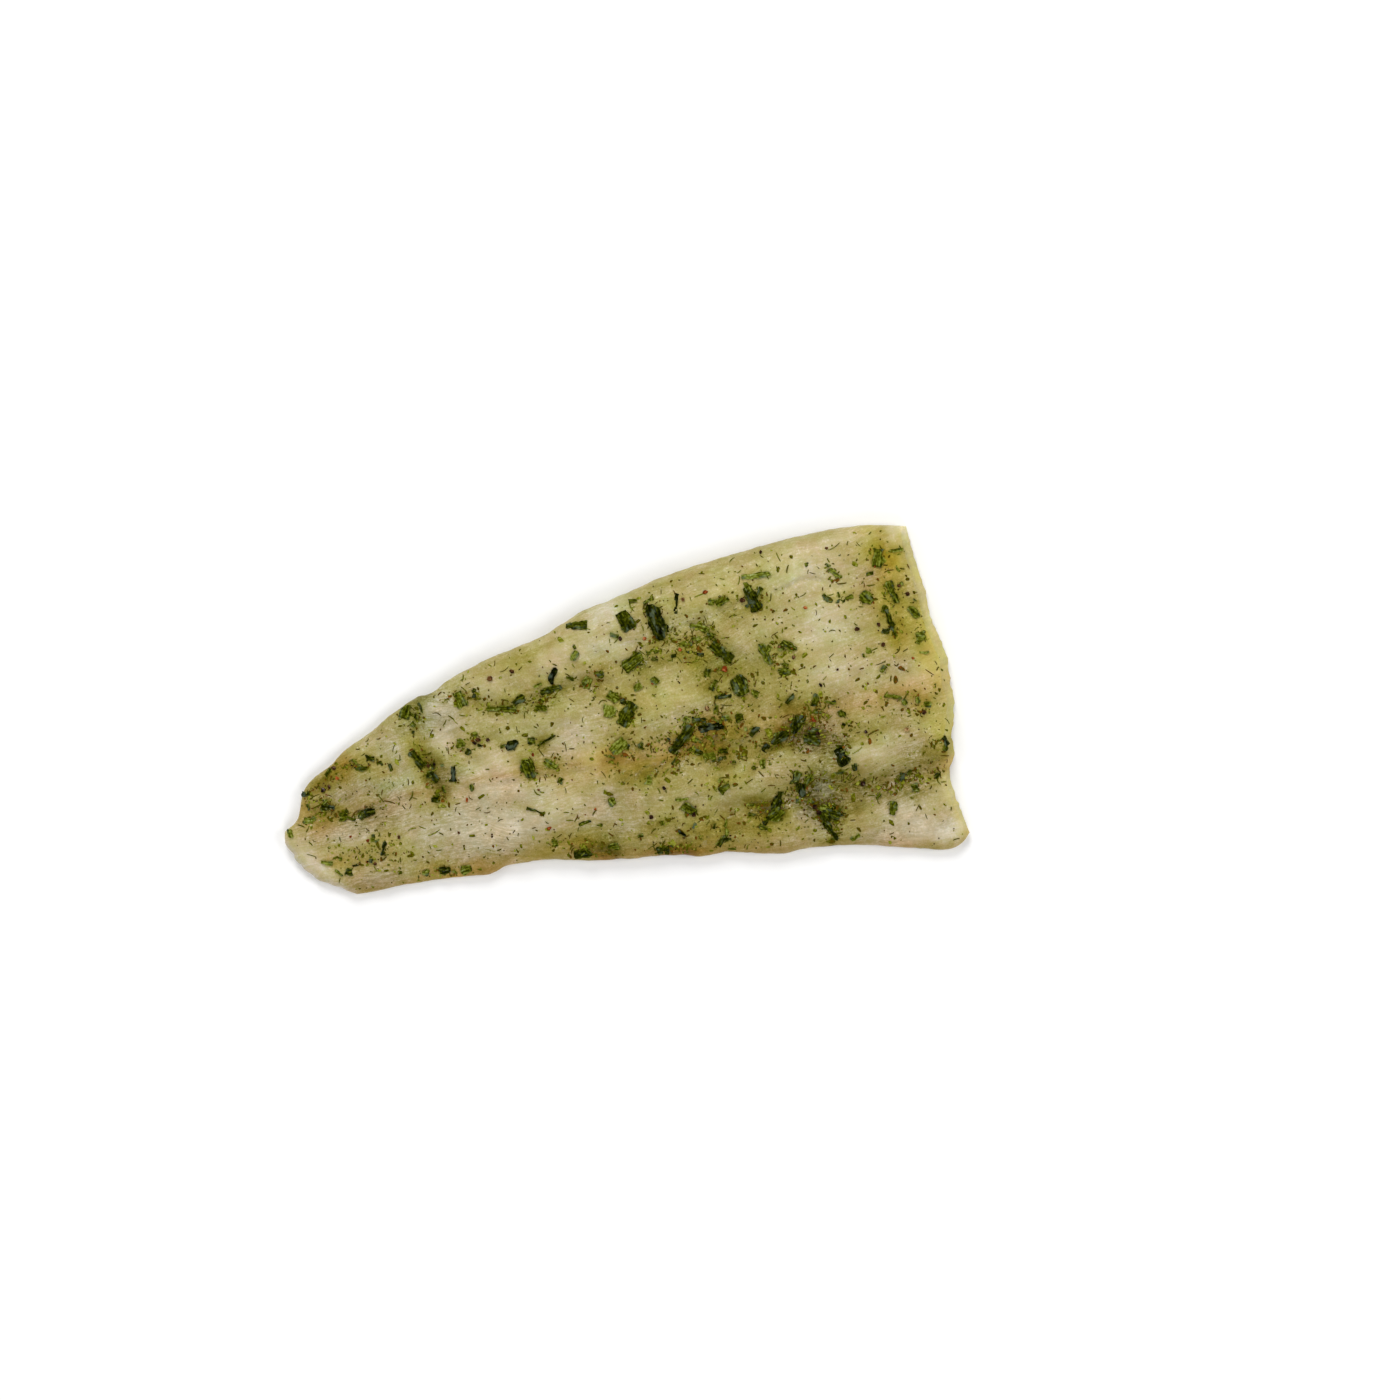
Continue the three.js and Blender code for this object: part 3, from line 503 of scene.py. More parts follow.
YELLOW = [
    (-124, 6, 3, 3, 0.3), (-116, 13, 4, 3, 0.3), (-108, -10, 5, 4, 0.2), (-105, 14, 6, 3, -0.3),
    (-100, 2, 14, 3.4, -0.6, -3), (-100, 22, 9, 4, 0.4, 25), (-97, -18, 12, 4, -0.5, -8),
    (-97, 14, 9, 4, -0.5, -5), (-97, 20, 5, 4, 0.2), (-88, -5, 6, 4, 0.3, -20), (-86, 6, 11, 6, -0.5),
    (-78, 24, 5, 12, -0.25, 20), (-72, -21, 8, 3, 0.25), (-72, 31, 5, 5, -0.35), (-70, 23, 4, 6, 0.8, 10),
    (-69, -25, 5, 2, 0.4), (-66, -18, 12, 4, -0.3, -5), (-66, 11, 4, 4, -0.5), (-62, -7, 24, 7, -0.42, -7),
    (-62, 40, 5, 3, -0.3), (-60, 10, 7, 4, -0.42), (-60, 28, 8, 8, -0.35), (-57, 34, 6, 6, -0.35, 60),
    (-48, 1, 8, 5, -0.9), (-47, -21, 12, 4, -0.2, -3), (-44, -15, 18, 7, -0.42, -8),
    (-35, -25, 8, 3, 0.3, -4), (-34, -2, 8, 4, -0.25), (-25, 46, 12, 4, 0.25, 10), (-23, 10, 7, 4, -0.25),
    (-18, -28, 8, 4, 0.4, -20), (-13, 13, 9, 7, -0.2), (-8, 4, 5, 4, 0.25), (-6, -12, 9, 6, -0.45, 20),
    (-4, -24, 9, 5, -0.45), (-2, 2, 4, 3, 0.3), (-2, 29, 5, 4, -0.3), (3, 2, 7, 4, 0.4), (7, 15, 4, 4, 0.4),
    (8, -7, 7, 3.6, 0.6), (16, -38, 6, 3, 0.35, -10), (16, -32, 7, 4, -0.3), (19, 46, 4, 4, -0.3),
    (24, -21, 6, 4, -0.2), (25, 18, 18, 6, 0.3, -5), (28, -34, 14, 4, 0.5, -8), (28, 10, 20, 5, -0.3),
    (30, 46, 4, 4, -0.3), (31, -7, 5, 3, 0.4), (34, 0, 12, 4, 0.3), (35, -17, 7, 3, 0.5),
    (36, 30, 6, 4, 0.5), (40, -32, 6, 4, -0.3), (42, 39, 4, 4, -0.3), (44, 26, 4, 4, -0.3),
    (44, 61, 12, 2, 0.3, 2), (46, -31, 4, 3, 0.4), (49, -32, 7, 4, 0.5), (50, -46, 10, 4, -0.2, -5),
    (52, -4, 4, 3, -0.3), (59.2, -30, 5, 3.2, -0.88), (60, 52, 40, 5, 0.25, 4), (61, -21, 6, 4, -0.2),
    # The rows below 0 here, in the pools near x 66 to 70, paint the grey gleam of the room on the wet film.
    (66, -38, 7, 6, -0.6), (66, -11, 6, 3, -0.8), (67.6, -34, 5.4, 5.6, -1.48), (68, -8, 8, 5, -0.6),
    (68.3, -5.4, 7.6, 4.1, -0.79), (70, -29, 5, 5, -0.9), (72, -20, 14, 4, -0.3, -4), (72, 22, 8, 6, 0.15),
    (74, -14, 5, 3, -0.3), (75, -12, 4, 4, -0.4), (78, -3, 5, 4, -0.3), (79, -36, 5, 3, -0.3),
    (80, -17, 5, 5, -0.8), (84, -34, 6, 4, -0.3), (84, 1, 8, 4, -0.25), (86, -53, 12, 5, -0.45, -12),
    (92, 38, 5, 4, 0.25), (94, -36, 14, 6, -0.6, -5), (100, -50, 16, 7, -0.28, -25), (102, -5, 6, 4, -0.3),
    (104, -24, 8, 5, -0.42), (108, 8, 5, 4, -0.25), (108, 20, 5, 5, 0.6), (108, 40, 6, 5, -0.6),
    (109, 59, 8, 3, 0.4, -8), (111, 37, 5, 4, 0.2), (112, 34, 6, 18, 0.6), (112, 49, 6, 5, 0.5),
    (113, 47, 6, 6, 0.6), (116, -16, 6, 8, 0.5), (120, 11, 5, 14, 0.75, 5), (123, 39, 2, 6, 0.4),
]
BLUSH = [
    (-116, 11, 4, 5, 0.4), (-114, 8, 5, 8, 0.4), (-110, -6, 4, 4, 0.4), (-106, 22, 10, 4, 0.5, 35),
    (-105, -8, 5, 3, 0.3), (-100, -14, 12, 6, 0.3, -10), (-98, 24, 6, 3, 0.5, 30),
    (-95, 21, 6, 4, 0.45, 20), (-95, 24, 4, 3, 0.4, 30), (-92, 0, 9, 5, 0.1), (-84, 11, 7, 4, -0.85),
    (-78, -23, 6, 2, 0.5, -4), (-78, 18, 5, 10, -0.3, 20), (-72, -10, 8, 4, -0.25),
    (-68, -22, 10, 4, 0.5, -4), (-67, 37, 6, 5, -0.35), (-65, -25, 6, 2, 0.7, -4), (-63, 40, 6, 3, -0.4),
    (-62, -5, 14, 5, -0.25, -5), (-62, 32, 12, 8, -0.45, 20), (-59, 7, 5, 4, -0.4),
    (-55, -26, 6, 2, 0.5, -4), (-54, 11, 5, 3, -0.4), (-47, -24, 26, 3, 0.5, -4), (-40, 20, 12, 4, -0.25),
    (-39, 37, 6, 3, -0.35), (-31, 28, 11, 4, -0.45), (-24, 20, 7, 4, -0.2), (-20, -28, 12, 4, 0.4, -20),
    (-18, -31, 7, 2.4, 0.4, -20), (-15, -31, 6, 2, 0.7, -20), (-13, -31, 5, 3, 0.4, -20),
    (-12, -3, 12, 4, 0.3, -5), (-12, 44, 16, 5, 0.1, 10), (-2, 31, 4, 3, 0.4), (0.6, 3.6, 4.3, 3.1, 1.28),
    (1, 20, 5, 5, -0.2), (3, 0, 9, 4, 0.6, -10), (4, -5, 6, 3, 0.3), (4, 40, 8, 5, -0.25),
    (7, -6, 5, 3, 0.4), (12, -37, 16, 3, 0.9, -12), (12, 54, 8, 5, -0.5, 15), (13, -38, 6, 2, 0.6, -12),
    (14, -38, 6, 3, 0.7, -12), (16, -4, 5, 3, 0.3), (19, -4, 5, 3, 0.5), (22, -36, 6, 4, 0.4, -8),
    (24, 19, 7, 4, -0.2), (26, -1, 14, 5, 0.4, -4), (27, 29, 9, 6, -0.3), (28, -3, 5, 3, 0.4),
    (28, -1, 6, 4, 0.7), (35, 5, 4, 3, 0.4), (35, 44, 6, 4, -0.45), (37, -4, 6, 3, 0.4),
    (40, -44, 16, 3, 0.5, -8), (40, -41, 7, 3, 0.35, -8), (40, -6, 5, 3, 0.4), (47, -31, 5, 3, 0.4),
    (47, 26, 6, 4, -0.4), (48, -20, 6, 4, -0.3), (50, -30, 5, 3, 0.4), (56, 27, 12, 6, -0.15),
    (58, -7, 4.5, 4, 0.8), (62, -27, 4, 3, 0.5), (62, 27, 6, 5, -0.3), (64, 49, 7, 4, -0.3),
    (66, -6, 12, 5, 0.4, 8), (69, -31, 5, 5, -0.5), (77, -20, 8, 4, -0.25), (77, -9, 5, 3, 0.3),
    (78, 50, 12, 4, -0.4), (84, 27, 10, 8, -0.25), (91, -56, 7, 3, 0.5, -14), (94, -20, 10, 4, -0.25),
    (104, -3, 16, 4.6, 0.55), (105, 38, 5, 7, 0.7), (109, 18, 5, 5, 0.4), (112, -32, 8, 3, 0.5),
    (112, 44, 5, 6, 0.5), (112.6, -8.4, 4.7, 4, 0.78), (113, 46, 5, 8, 0.4), (117, -31, 3, 3, 0.4),
    (117, -31, 3, 5, 0.4), (119, 14, 4, 16, 0.25),
]
BLOOD_LINE = [(-112, 6), (-84, 7.8), (-54, 6.6), (-3, 1.6), (27, 1), (65, 0), (87, -2.2), (124, -2)]

places = np.empty(3 * len(flesh.data.vertices))
flesh.data.vertices.foreach_get("co", places)
x, y, z = places.reshape(-1, 3).T / mm
x, y = flat_flesh = x + middle[0], y + middle[1]
gathered = np.minimum(1.2, patches(GATHERED_AND_GLEAMS, x, y, 1.15))

# Of each pigment all over, and the widths over which the edges differ: the cut is bleached and yellow,
# and painted paler still for the light that its steep face catches; the tail is pale at its very tip; the
# belly side is a little darker, as painted shade, and the belly flap has a film of blood.
JUICE, OIL, BLOOD = 0.79, -0.18, 0.1
CUT_FRINGE, TAIL_FRINGE, TAIL_TIP, BELLY_SHADE, BELLY_FILM = 3.6, 5, 1.6, 9, 2.6
BLOOD_WIDTH, VEIN_WIDTH, VEIN_ENDS = 4, 0.8, (-100, 6)
at_cut = near(distance_to(cut, x, y), CUT_FRINGE) * (0.9 + 0.3 * noise(x / 3, y, 1.5))
from_tail, from_belly = distance_to(tail, x, y), distance_to(belly, x, y)
at_tail = near(from_tail, TAIL_FRINGE) - 1.6 * near(from_tail, TAIL_TIP)
dark = (JUICE + 0.2 * gathered + patches(STAINED_AND_SHADED, x, y)) * np.clip(1 - 0.85 * patches(MILKY_AND_HIGHLIGHTS, x, y), 0.1, 1)
# The cut is made paler, partly as painted light on its steep face, and the belly side darker as painted
# shade.
dark = dark * (1 - 0.5 * np.clip(at_cut, 0, 1)) + 0.12 * at_tail + 0.1 * near(from_belly, BELLY_SHADE)
yellow = OIL + patches(YELLOW, x, y) + 0.6 * at_cut + 0.2 * at_tail
from_blood = distance_to(traced(BLOOD_LINE, 2), x, y + 1.2 * noise(x, y, 9))
blush = BLOOD + 0.5 * near(from_blood, BLOOD_WIDTH) + patches(BLUSH, x, y)
blush += 0.5 * near(from_belly, BELLY_FILM)

# A thin vein runs in the seam of the tail half, broken here and there.
vein = near(from_blood, VEIN_WIDTH) * smooth((x - VEIN_ENDS[0]) / 12) * smooth((VEIN_ENDS[1] - x) / 12)
vein *= smooth(0.55 + noise(x, y, 6) + 0.5 * noise(x, y, 2))
blush, dark, yellow = blush + 0.5 * vein, dark + 0.22 * vein, yellow - 0.15 * vein
pigments = np.column_stack([dark, yellow, blush])
store(flesh.data, "pigment", "FLOAT_VECTOR", pigments)

# The lie of the muscle fibres, which slant away from the seam on both sides: metres along and across.
off = y - np.interp(x, seam[:, 0], seam[:, 1])
bow = 2.5 * noise(x, y, 23) + 0.8 * noise(x, y, 7)
grain = np.column_stack([x + 0.3 * np.abs(off), np.abs(off) - 0.1 * x + bow, 9 * np.tanh(off / 3)]) * mm
store(flesh.data, "grain", "FLOAT_VECTOR", grain)

MILK = srgb(222, 210, 195)
DUST = srgb(62, 68, 2)
# How much of the red, green and blue light a layer of each keeps back.
ABSORBS = {"Red": (1, 0.05, 0), "Green": (1.03, 0.03, 0.2), "Blue": (2.4, 1, 0.4)}

paint, signal, shader = material(
    "wet_cod", subsurface_weight=0.2, subsurface_scale=2 * mm, coat_roughness=0.12, specular_ior_level=0.05
)
shader.inputs["Subsurface Radius"].default_value = (1, 0.75, 0.4)
where = signal.node("ShaderNodeTexCoord", {}, {}, output=3)
grain = signal.node("ShaderNodeAttribute", {"attribute_name": "grain"}, {}, output=1)
pigment = signal.node("ShaderNodeAttribute", {"attribute_name": "pigment"}, {}, output=1)
dark, yellow, blush = (
    signal.node("ShaderNodeSeparateXYZ", {}, {"Vector": pigment}, output=k) for k in range(3)
)

# Unevenness of every size, from clouds a centimetre across down to grit, with the fibres along the grain.
cloud = signal.noise(where, 90, detail=3)
blotch = signal.noise(where, 230, detail=3, rough=0.6)
mottle = signal.noise(where, 700, detail=3, rough=0.6)
fibre = signal.noise(grain, 170, stretch=(1, 5, 3), detail=3, rough=0.6)
streak = signal.noise(grain, 230, stretch=(0.3, 4.5, 3), detail=3, rough=0.6)
raised = fibre * 0.25 + streak * 0.4 + mottle * 0.35
grit = signal.noise(where, 2200, detail=1)
wet = signal.noise(where, 600, detail=3).between(0.56, 0.66)

# Pale strands between the fibres, and curds of milky protein, both free of juice.
strand = signal.noise(grain, 420, stretch=(0.5, 2.6, 2), detail=2)
strand = (1 - signal.math("ABSOLUTE", strand - 0.5) * 10).clamped()
strand = strand * (cloud.between(0.42, 0.6) * 0.2 + ((-0.15 - yellow) * 2).clamped() * 0.25)
curd = signal.node("ShaderNodeTexVoronoi", {}, {"Vector": where, "Scale": 760})
curd = (1 - curd.between(0.2, 0.5)) * blotch.between(0.44, 0.56)

# Each pigment thins and thickens with the unevenness, and oil and blood change places with the tone.
tone = (signal.noise(where, 130, detail=4, rough=0.6) - 0.5) * 1.15
uneven = (0.5 - cloud) * 0.25 + (0.5 - blotch) * 0.4 + (0.5 - raised) * 1.3 + (0.5 - grit) * 0.6
juice = dark * (1 + uneven) - (strand + curd * 0.2) * (dark * 0.7 + 0.25)
juice = signal.math("MAXIMUM", juice, 0.02)
oil = signal.math("MAXIMUM", yellow + uneven * 0.25 - tone * 0.5, 0.05 - juice * 0.9)
blood = blush + tone * 1.6
light = {}
for (channel, (by_juice, by_oil, by_blood)), bare in zip(ABSORBS.items(), MILK):
    thickness = juice * by_juice + oil * by_oil + blood * by_blood
    light[channel] = signal.math("EXPONENT", thickness * -1) * bare
colour = signal.node("ShaderNodeCombineColor", {}, light)
dust = signal.noise(where, 1300, detail=1).between(0.62, 0.68) * (dark * 0.6 - 0.35)
colour = dust.clamped().mix(colour, DUST)
bump = signal.node("ShaderNodeBump", {}, {"Strength": 0.4, "Distance": 0.5 * mm, "Height": raised})
film, dull = 0.03 + wet * 0.3, 0.3 + mottle * 0.2
feed(paint, shader, base_color=colour, roughness=dull, coat_weight=film, normal=bump)
flesh.data.materials.append(paint)

# ---- The chopped leaves
# Pieces of parsley and chive, a few millimetres across, wilted flat and dark in the oil. Each is a
# thin slab with torn edges, crumpled a little and laid on the flesh; the largest lie where they fell,
# and the others gather where the marinade did.

# Place, length, width, turn in degrees, and shade from 0 for dark to 1 for pale green.
LARGE_LEAVES = [
    (-1.6, 51.6, 8, 2.6, -12, 0.5), (16, 48.6, 7.6, 4.6, 105, 0.42), (26.6, 45.5, 13.6, 4.6, 95, 0.3),
    (14.6, 33.6, 8.4, 4.4, 22, 0.6), (46.6, 28.6, 10, 3.6, -55, 0.48), (62.6, 44.4, 10, 4.6, 102, 0.35),
    (62, 23.6, 9, 2.4, -75, 0.62), (71, 24.6, 6, 2.6, -45, 0.55), (50, 15, 7.4, 4.6, 100, 0.5),
    (7.6, 16, 9.6, 4.8, 48, 0.5), (-32, 5.8, 7, 4.6, 95, 0.52), (-35.6, 15.4, 5.6, 2.8, 15, 0.2),
    (-36, 29.4, 11, 2, -15, 0.62), (-17, 31.4, 8, 2.2, 0, 0.5), (-22, 26, 4.4, 2.2, -20, 0.6),
    (-49.6, 36.4, 5.4, 3, 100, 0.7), (-70.4, 37.6, 5.2, 3.2, 60, 0.55), (-70.4, 19.6, 7.2, 2.4, -65, 0.4),
    (-66.6, 12, 4.4, 2.8, -60, 0.3), (-59, 11, 5.8, 2.8, 75, 0.12), (-106.6, 11, 4.8, 3, -20, 0.35),
    (-92.6, 5.6, 4.4, 2.4, 0, 0.3), (-71.4, -22.4, 4.4, 2.4, -10, 0.34), (-21, -29.4, 6.4, 2.6, -10, 0.4),
    (24.6, 1.6, 12.6, 3.6, 40, 0.4), (36, 3.2, 9.4, 2.9, -8, 0.1), (75, 2.8, 4.4, 2.8, 60, 0.5),
    (79, -19.4, 6.4, 4.4, 100, 0.16), (112.4, 33.6, 8.2, 2.4, -85, 0.58), (109, 23, 10, 1.8, -85, 0.45),
    (118, 24.4, 5.2, 3, -55, 0.62), (110.6, 47, 7, 3.6, 70, 0.68), (66, 52.2, 10.6, 1.7, -8, 0.8),
    (68.6, -45, 8.2, 2.2, -70, 0.34), (92.6, -42.4, 5.4, 2.4, 70, 0.66), (-14.6, 36.4, 6.4, 2.5, 50, 0.12),
    (59, -7, 7, 3, 20, 0.35), (66, -4, 6.6, 3, 62, 0.3), (70, -11, 6, 3, -30, 0.42),
    (20.6, -23.4, 5.6, 2.6, -45, 0.6), (70.2, -38.8, 6, 3.2, -35, 0.5), (62, -27.6, 5, 3, 80, 0.25),
    (71.4, -8, 3.6, 2.4, -20, 0.5), (61.8, -22.4, 4, 2.6, 60, 0.62),
]
SMALL_LEAVES = [
    (-122.8, 5.6, 3.8, 2.2, -75, 0.8), (-114.2, 8.2, 4.5, 1.9, -5, 0.75),
    (-113.5, 17.9, 3.4, 2.5, -15, 0.4), (-112.2, -8.5, 4.1, 1.5, -20, 0.75),
    (-108.9, -13, 3.8, 0.9, -55, 0.6), (-105.3, -13.6, 2.8, 2.5, -15, 0.45),
    (-103.6, 23.5, 3.1, 1.6, 45, 0.46), (-101.8, -11.9, 3.4, 0.9, 5, 0.3),
    (-101.8, 6.3, 3.3, 2.9, -15, 0.56), (-95.6, 5.5, 3.1, 2.8, 45, 0.42),
    (-91.3, 21.7, 4.5, 1.6, -15, 0.55), (-90.7, -8.6, 5.3, 1.3, 65, 0.2),
    (-87.2, 24.4, 2.9, 2.3, -15, 0.36), (-80.6, 19.3, 3.1, 2, 90, 0.45), (-78.6, -21.3, 2.9, 2.2, -15, 0.8),
    (-68.5, 36.1, 5.1, 0.9, -55, 0.46), (-67.8, 3.5, 3.1, 1.9, -15, 0.4), (-64.5, 37.2, 4.4, 1, -85, 0.5),
    (-64, 6.5, 2.9, 1.3, -85, 0.65), (-63.8, -23.8, 4.1, 3, 5, 0.7), (-53.7, 21.1, 2.9, 2.5, -15, 0.7),
    (-47.9, 23, 2.6, 2.2, -15, 0.62), (-33.5, -9.6, 7.3, 1.5, -35, 0.5), (-30, -23, 2.6, 1.9, -15, 0.7),
    (-29.1, 30.8, 4.4, 2.5, 15, 0.5), (-28.4, 15.1, 2.9, 2.6, -15, 0.5), (-24, 5.4, 5.4, 2.9, -45, 0.75),
    (-23.1, 14, 7.7, 0.9, 15, 0.45), (-17.4, -18.5, 4.7, 1, 5, 0.5), (-9.8, -29.6, 4.5, 1.9, -5, 0.66),
    (-5.9, -13.6, 3.6, 2.5, -75, 0.75), (-5.2, 41, 3.6, 3, 45, 0.8), (-3.5, 30.7, 4.4, 2.9, 55, 0.75),
    (1.4, 18.1, 4.4, 3.6, 55, 0.85), (1.8, 5.1, 6.6, 3.1, 30, 0.8), (2.1, 31.9, 2.9, 2.6, 5, 0.55),
    (4.3, 23, 4.4, 3.1, -50, 0.65), (7.5, -35.7, 5.1, 2.8, -15, 0.4), (9.2, -9.3, 3.4, 2, 65, 0.8),
    (9.5, 3, 3.3, 1.8, -85, 0.5), (10.4, 44.4, 3.3, 1.5, -25, 0.75), (13.7, 24.2, 3.3, 1.8, 20, 0.88),
    (15.8, -31.5, 3.4, 1.4, -55, 0.05), (19, -19.5, 5.1, 0.9, -10, 0.85), (20.3, -4.7, 4.5, 0.9, 45, 0.4),
    (20.4, 54.9, 3.3, 1.3, -15, 0.6), (20.5, 25, 2.8, 2, -60, 0.6), (23.1, 35.3, 6.2, 1.5, -5, 0.65),
    (25.7, 53.5, 4.5, 1.3, 15, 0.6), (28.7, -4.4, 3.4, 2.3, -35, 0.45), (29.2, -37.7, 5.5, 1.8, 35, 0.5),
    (31.9, -41.7, 2.9, 1.2, -15, 0.65), (32.4, 6.7, 5.3, 1.9, -15, 0.4), (32.6, -6.5, 4.1, 1.8, -5, 0.68),
    (34.8, -19.6, 4.4, 2.5, 15, 0.6), (35, 34.8, 4.4, 2.5, -15, 0.72), (35.3, 49.8, 7.7, 1.4, 70, 0.2),
    (37.3, 30.7, 6.9, 1.2, -25, 0.34), (38.1, -6.1, 3.6, 1.8, -25, 0.45), (39.8, 22.9, 3.6, 2.5, 65, 0.5),
    (41.1, 18, 2.9, 1.8, 55, 0.55), (41.2, 39.5, 6.6, 1.9, -35, 0.75), (43.2, 12.9, 6.6, 1.7, -5, 0.38),
    (44.1, 36.1, 4.4, 1.9, -75, 0.58), (44.9, -37, 3.4, 1.6, -30, 0.6), (46.8, 3.8, 2.9, 2.5, 5, 0.5),
    (47.8, -34.4, 5.8, 2.5, 25, 0.3), (47.8, 47.2, 2.6, 1.9, -15, 0.7), (50.5, -14.7, 3.6, 1.8, 85, 0.75),
    (50.7, -33.7, 5.8, 3.6, 25, 0.55), (50.8, -2.3, 4.4, 2.1, 30, 0.32), (51.7, 46.3, 5.1, 2.6, 10, 0.66),
    (52.2, -29.5, 8, 2.5, 55, 0.35), (53.1, -9, 3.6, 2.4, 25, 0.2), (54.7, 11, 2.9, 1.8, -45, 0.6),
    (60.8, -22.8, 3.1, 2.2, 75, 0.44), (61.8, 48.7, 4.4, 1.6, -75, 0.68), (65.3, -24.4, 4.4, 2.2, 45, 0.68),
    (65.7, 46.2, 3.6, 1.5, 55, 0.45), (66.6, 15.7, 4.6, 2.8, -15, 0.6), (66.3, 5.7, 4.5, 1.6, 35, 0.5),
    (67.7, -2.7, 4.4, 4.4, 25, 0.35), (67.8, -39, 4.4, 2.9, -75, 0.42), (71.4, -36.9, 5.1, 2.9, -45, 0.4),
    (76.3, -49.6, 3.6, 1.6, 15, 0.8), (76.5, -24.9, 3.5, 1.3, -5, 0.6), (83.1, -4.2, 2.6, 2, -75, 0.5),
    (89, 37.3, 4.5, 1.6, -45, 0.6), (93.3, 35.2, 3.4, 1.6, -10, 0.5), (93.8, 45.5, 5.7, 1.9, -50, 0.78),
    (96.7, 35.8, 3.4, 1.4, 0, 0.75), (98.4, 15.3, 2.3, 1.9, -15, 0.75), (98.7, -32.3, 2.9, 2.6, 45, 0.45),
    (102, 7.4, 2.9, 1.9, 45, 0.6), (102.2, -37.3, 2.5, 2.6, -15, 0.5), (102.7, -3.2, 6.6, 1.3, -25, 0.75),
    (102.8, 34, 5.1, 3.2, -65, 0.65), (106.4, 20.5, 3.1, 2.3, -15, 0.35), (108, 28, 3.1, 2, 45, 0.6),
    (114.3, -9.2, 2.6, 2.1, -15, 0.65), (116.5, 41.3, 2.6, 0.9, -75, 0.8),
    (117.3, -23.6, 3.8, 2.6, -75, 0.28), (117.8, 9.4, 3.4, 0.9, -15, 0.88),
    (118.2, 15.3, 3.4, 2.8, -15, 0.75), (118.3, 47.8, 4.7, 1.2, -5, 0.85),
]
STREWN_LEAVES = 130
LEAF_THICKNESS = 0.22
seed = np.random.default_rng(23)


def shape_of(add, **settings):
    """The points and faces of a primitive, to be copied many times."""
    bpy.ops.object.select_all(action="DESELECT")
    add(**settings)
    made = bpy.context.object
    points = np.array([v.co for v in made.data.vertices])
    faces = np.array([p.vertices for p in made.data.polygons])
    bpy.data.objects.remove(made)
    return points, faces


def strewn_places(count, bare, clear):
    """Places drawn over the flesh: bare says how thickly away from where the marinade gathered, and
    clear how far from the edges of the flesh."""
    s, t = seed.uniform(0.012, 0.988, (2, count * 14))
    step = 1e-3
    flat = sheet(s, t)
    along, across = sheet(s + step, t) - flat, sheet(s, t + step) - flat
    area = np.abs(along[:, 0] * across[:, 1] - along[:, 1] * across[:, 0])
    gathered = np.clip(patches(GATHERED_AND_GLEAMS, *flat.T), 0, 1.5)
    thickness = bare * np.clip(1 - patches(MILKY_AND_HIGHLIGHTS, *flat.T), 0.08, 1) + gathered**1.5
    for edge in edges:
        thickness *= distance_to(edge, *flat.T) > clear
    chosen = seed.choice(len(s), count, replace=False, p=area * thickness / np.sum(area * thickness))
    return flat[chosen].T


def strewn(name, points, faces, x, y, turns, lifts, tints):
    """Joins many small pieces into one: each is turned, put at its place and laid on the flesh."""
    c, s = np.cos(turns)[:, None], np.sin(turns)[:, None]
    u, v, w = np.moveaxis(points, -1, 0)
    px, py = x[:, None] + u * c - v * s, y[:, None] + u * s + v * c
    pz = np.maximum(flesh_height(px.ravel(), py.ravel()).reshape(px.shape) + w + lifts[:, None], 0.1)
    places = np.stack([px - middle[0], py - middle[1], pz], axis=-1).reshape(-1, 3) * mm
    corners = faces[None] + np.arange(len(x))[:, None, None] * points.shape[1]
    mesh = bpy.data.meshes.new(name)
    mesh.from_pydata(places.tolist(), [], corners.reshape(-1, faces.shape[1]).tolist())
    store(mesh, "tint", "FLOAT", np.broadcast_to(tints, px.shape))
    piece = bpy.data.objects.new(name, mesh)
    bpy.context.scene.collection.objects.link(piece)
    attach(piece, "root")
    return piece


x, y = strewn_places(STREWN_LEAVES, 0.015, 1.6)
among = np.column_stack([
    x, y, seed.uniform(1.2, 3.2, STREWN_LEAVES), seed.uniform(0.8, 1.8, STREWN_LEAVES),
    seed.uniform(0, 360, STREWN_LEAVES), seed.uniform(0.35, 0.8, STREWN_LEAVES),
])
leaves = np.vstack([LARGE_LEAVES, SMALL_LEAVES, among])
points, faces = shape_of(bpy.ops.mesh.primitive_grid_add, x_subdivisions=14, y_subdivisions=7, size=2)

# The grid is doubled to a slab, whose rim is walled, and each leaf wears, bends and crumples its own way.
both = np.vstack([points + (0, 0, 1), points])
rim = [k for k in range(len(points)) if max(abs(points[k, 0]), abs(points[k, 1])) > 0.999]
rim.sort(key=lambda k: math.atan2(points[k, 1], points[k, 0]))
walls = [(k, n, n + len(points), k + len(points)) for n, k in zip(rim, rim[1:] + rim[:1])]
slab = np.vstack([faces, faces[:, ::-1] + len(points), walls])
u, v, w = both.T
number = np.arange(len(leaves))[:, None]
long, wide, shade = leaves[:, 2:3] / 2, leaves[:, 3:4] / 2, leaves[:, 5:]
worn, bend = seed.uniform(0, 0.6, (len(leaves), 1)), seed.uniform(-0.3, 0.3, (len(leaves), 1))
along = u * np.sqrt(1 - worn * v**2 / 2) * long
waist = 1 + 0.4 * noise(along + 13 * number, along * 0 + 7 * number, 2.4)
across = v * np.sqrt(1 - worn * u**2 / 2) * wide * waist
reach = np.minimum(1, wide)
along, across = (
    along + reach * 0.45 * noise(along + 19 * number, across, 1.1),
    across + reach * (0.5 * noise(along, across + 23 * number, 1.1) + bend * u**2),
)
crumple = 0.3 * noise(along + 40 * number, across, 1.3)
curl = seed.uniform(-0.05, 0.35, (len(leaves), 1)) * v**2
points = np.stack([along, across, (w - 0.5) * LEAF_THICKNESS + crumple + curl], axis=-1)
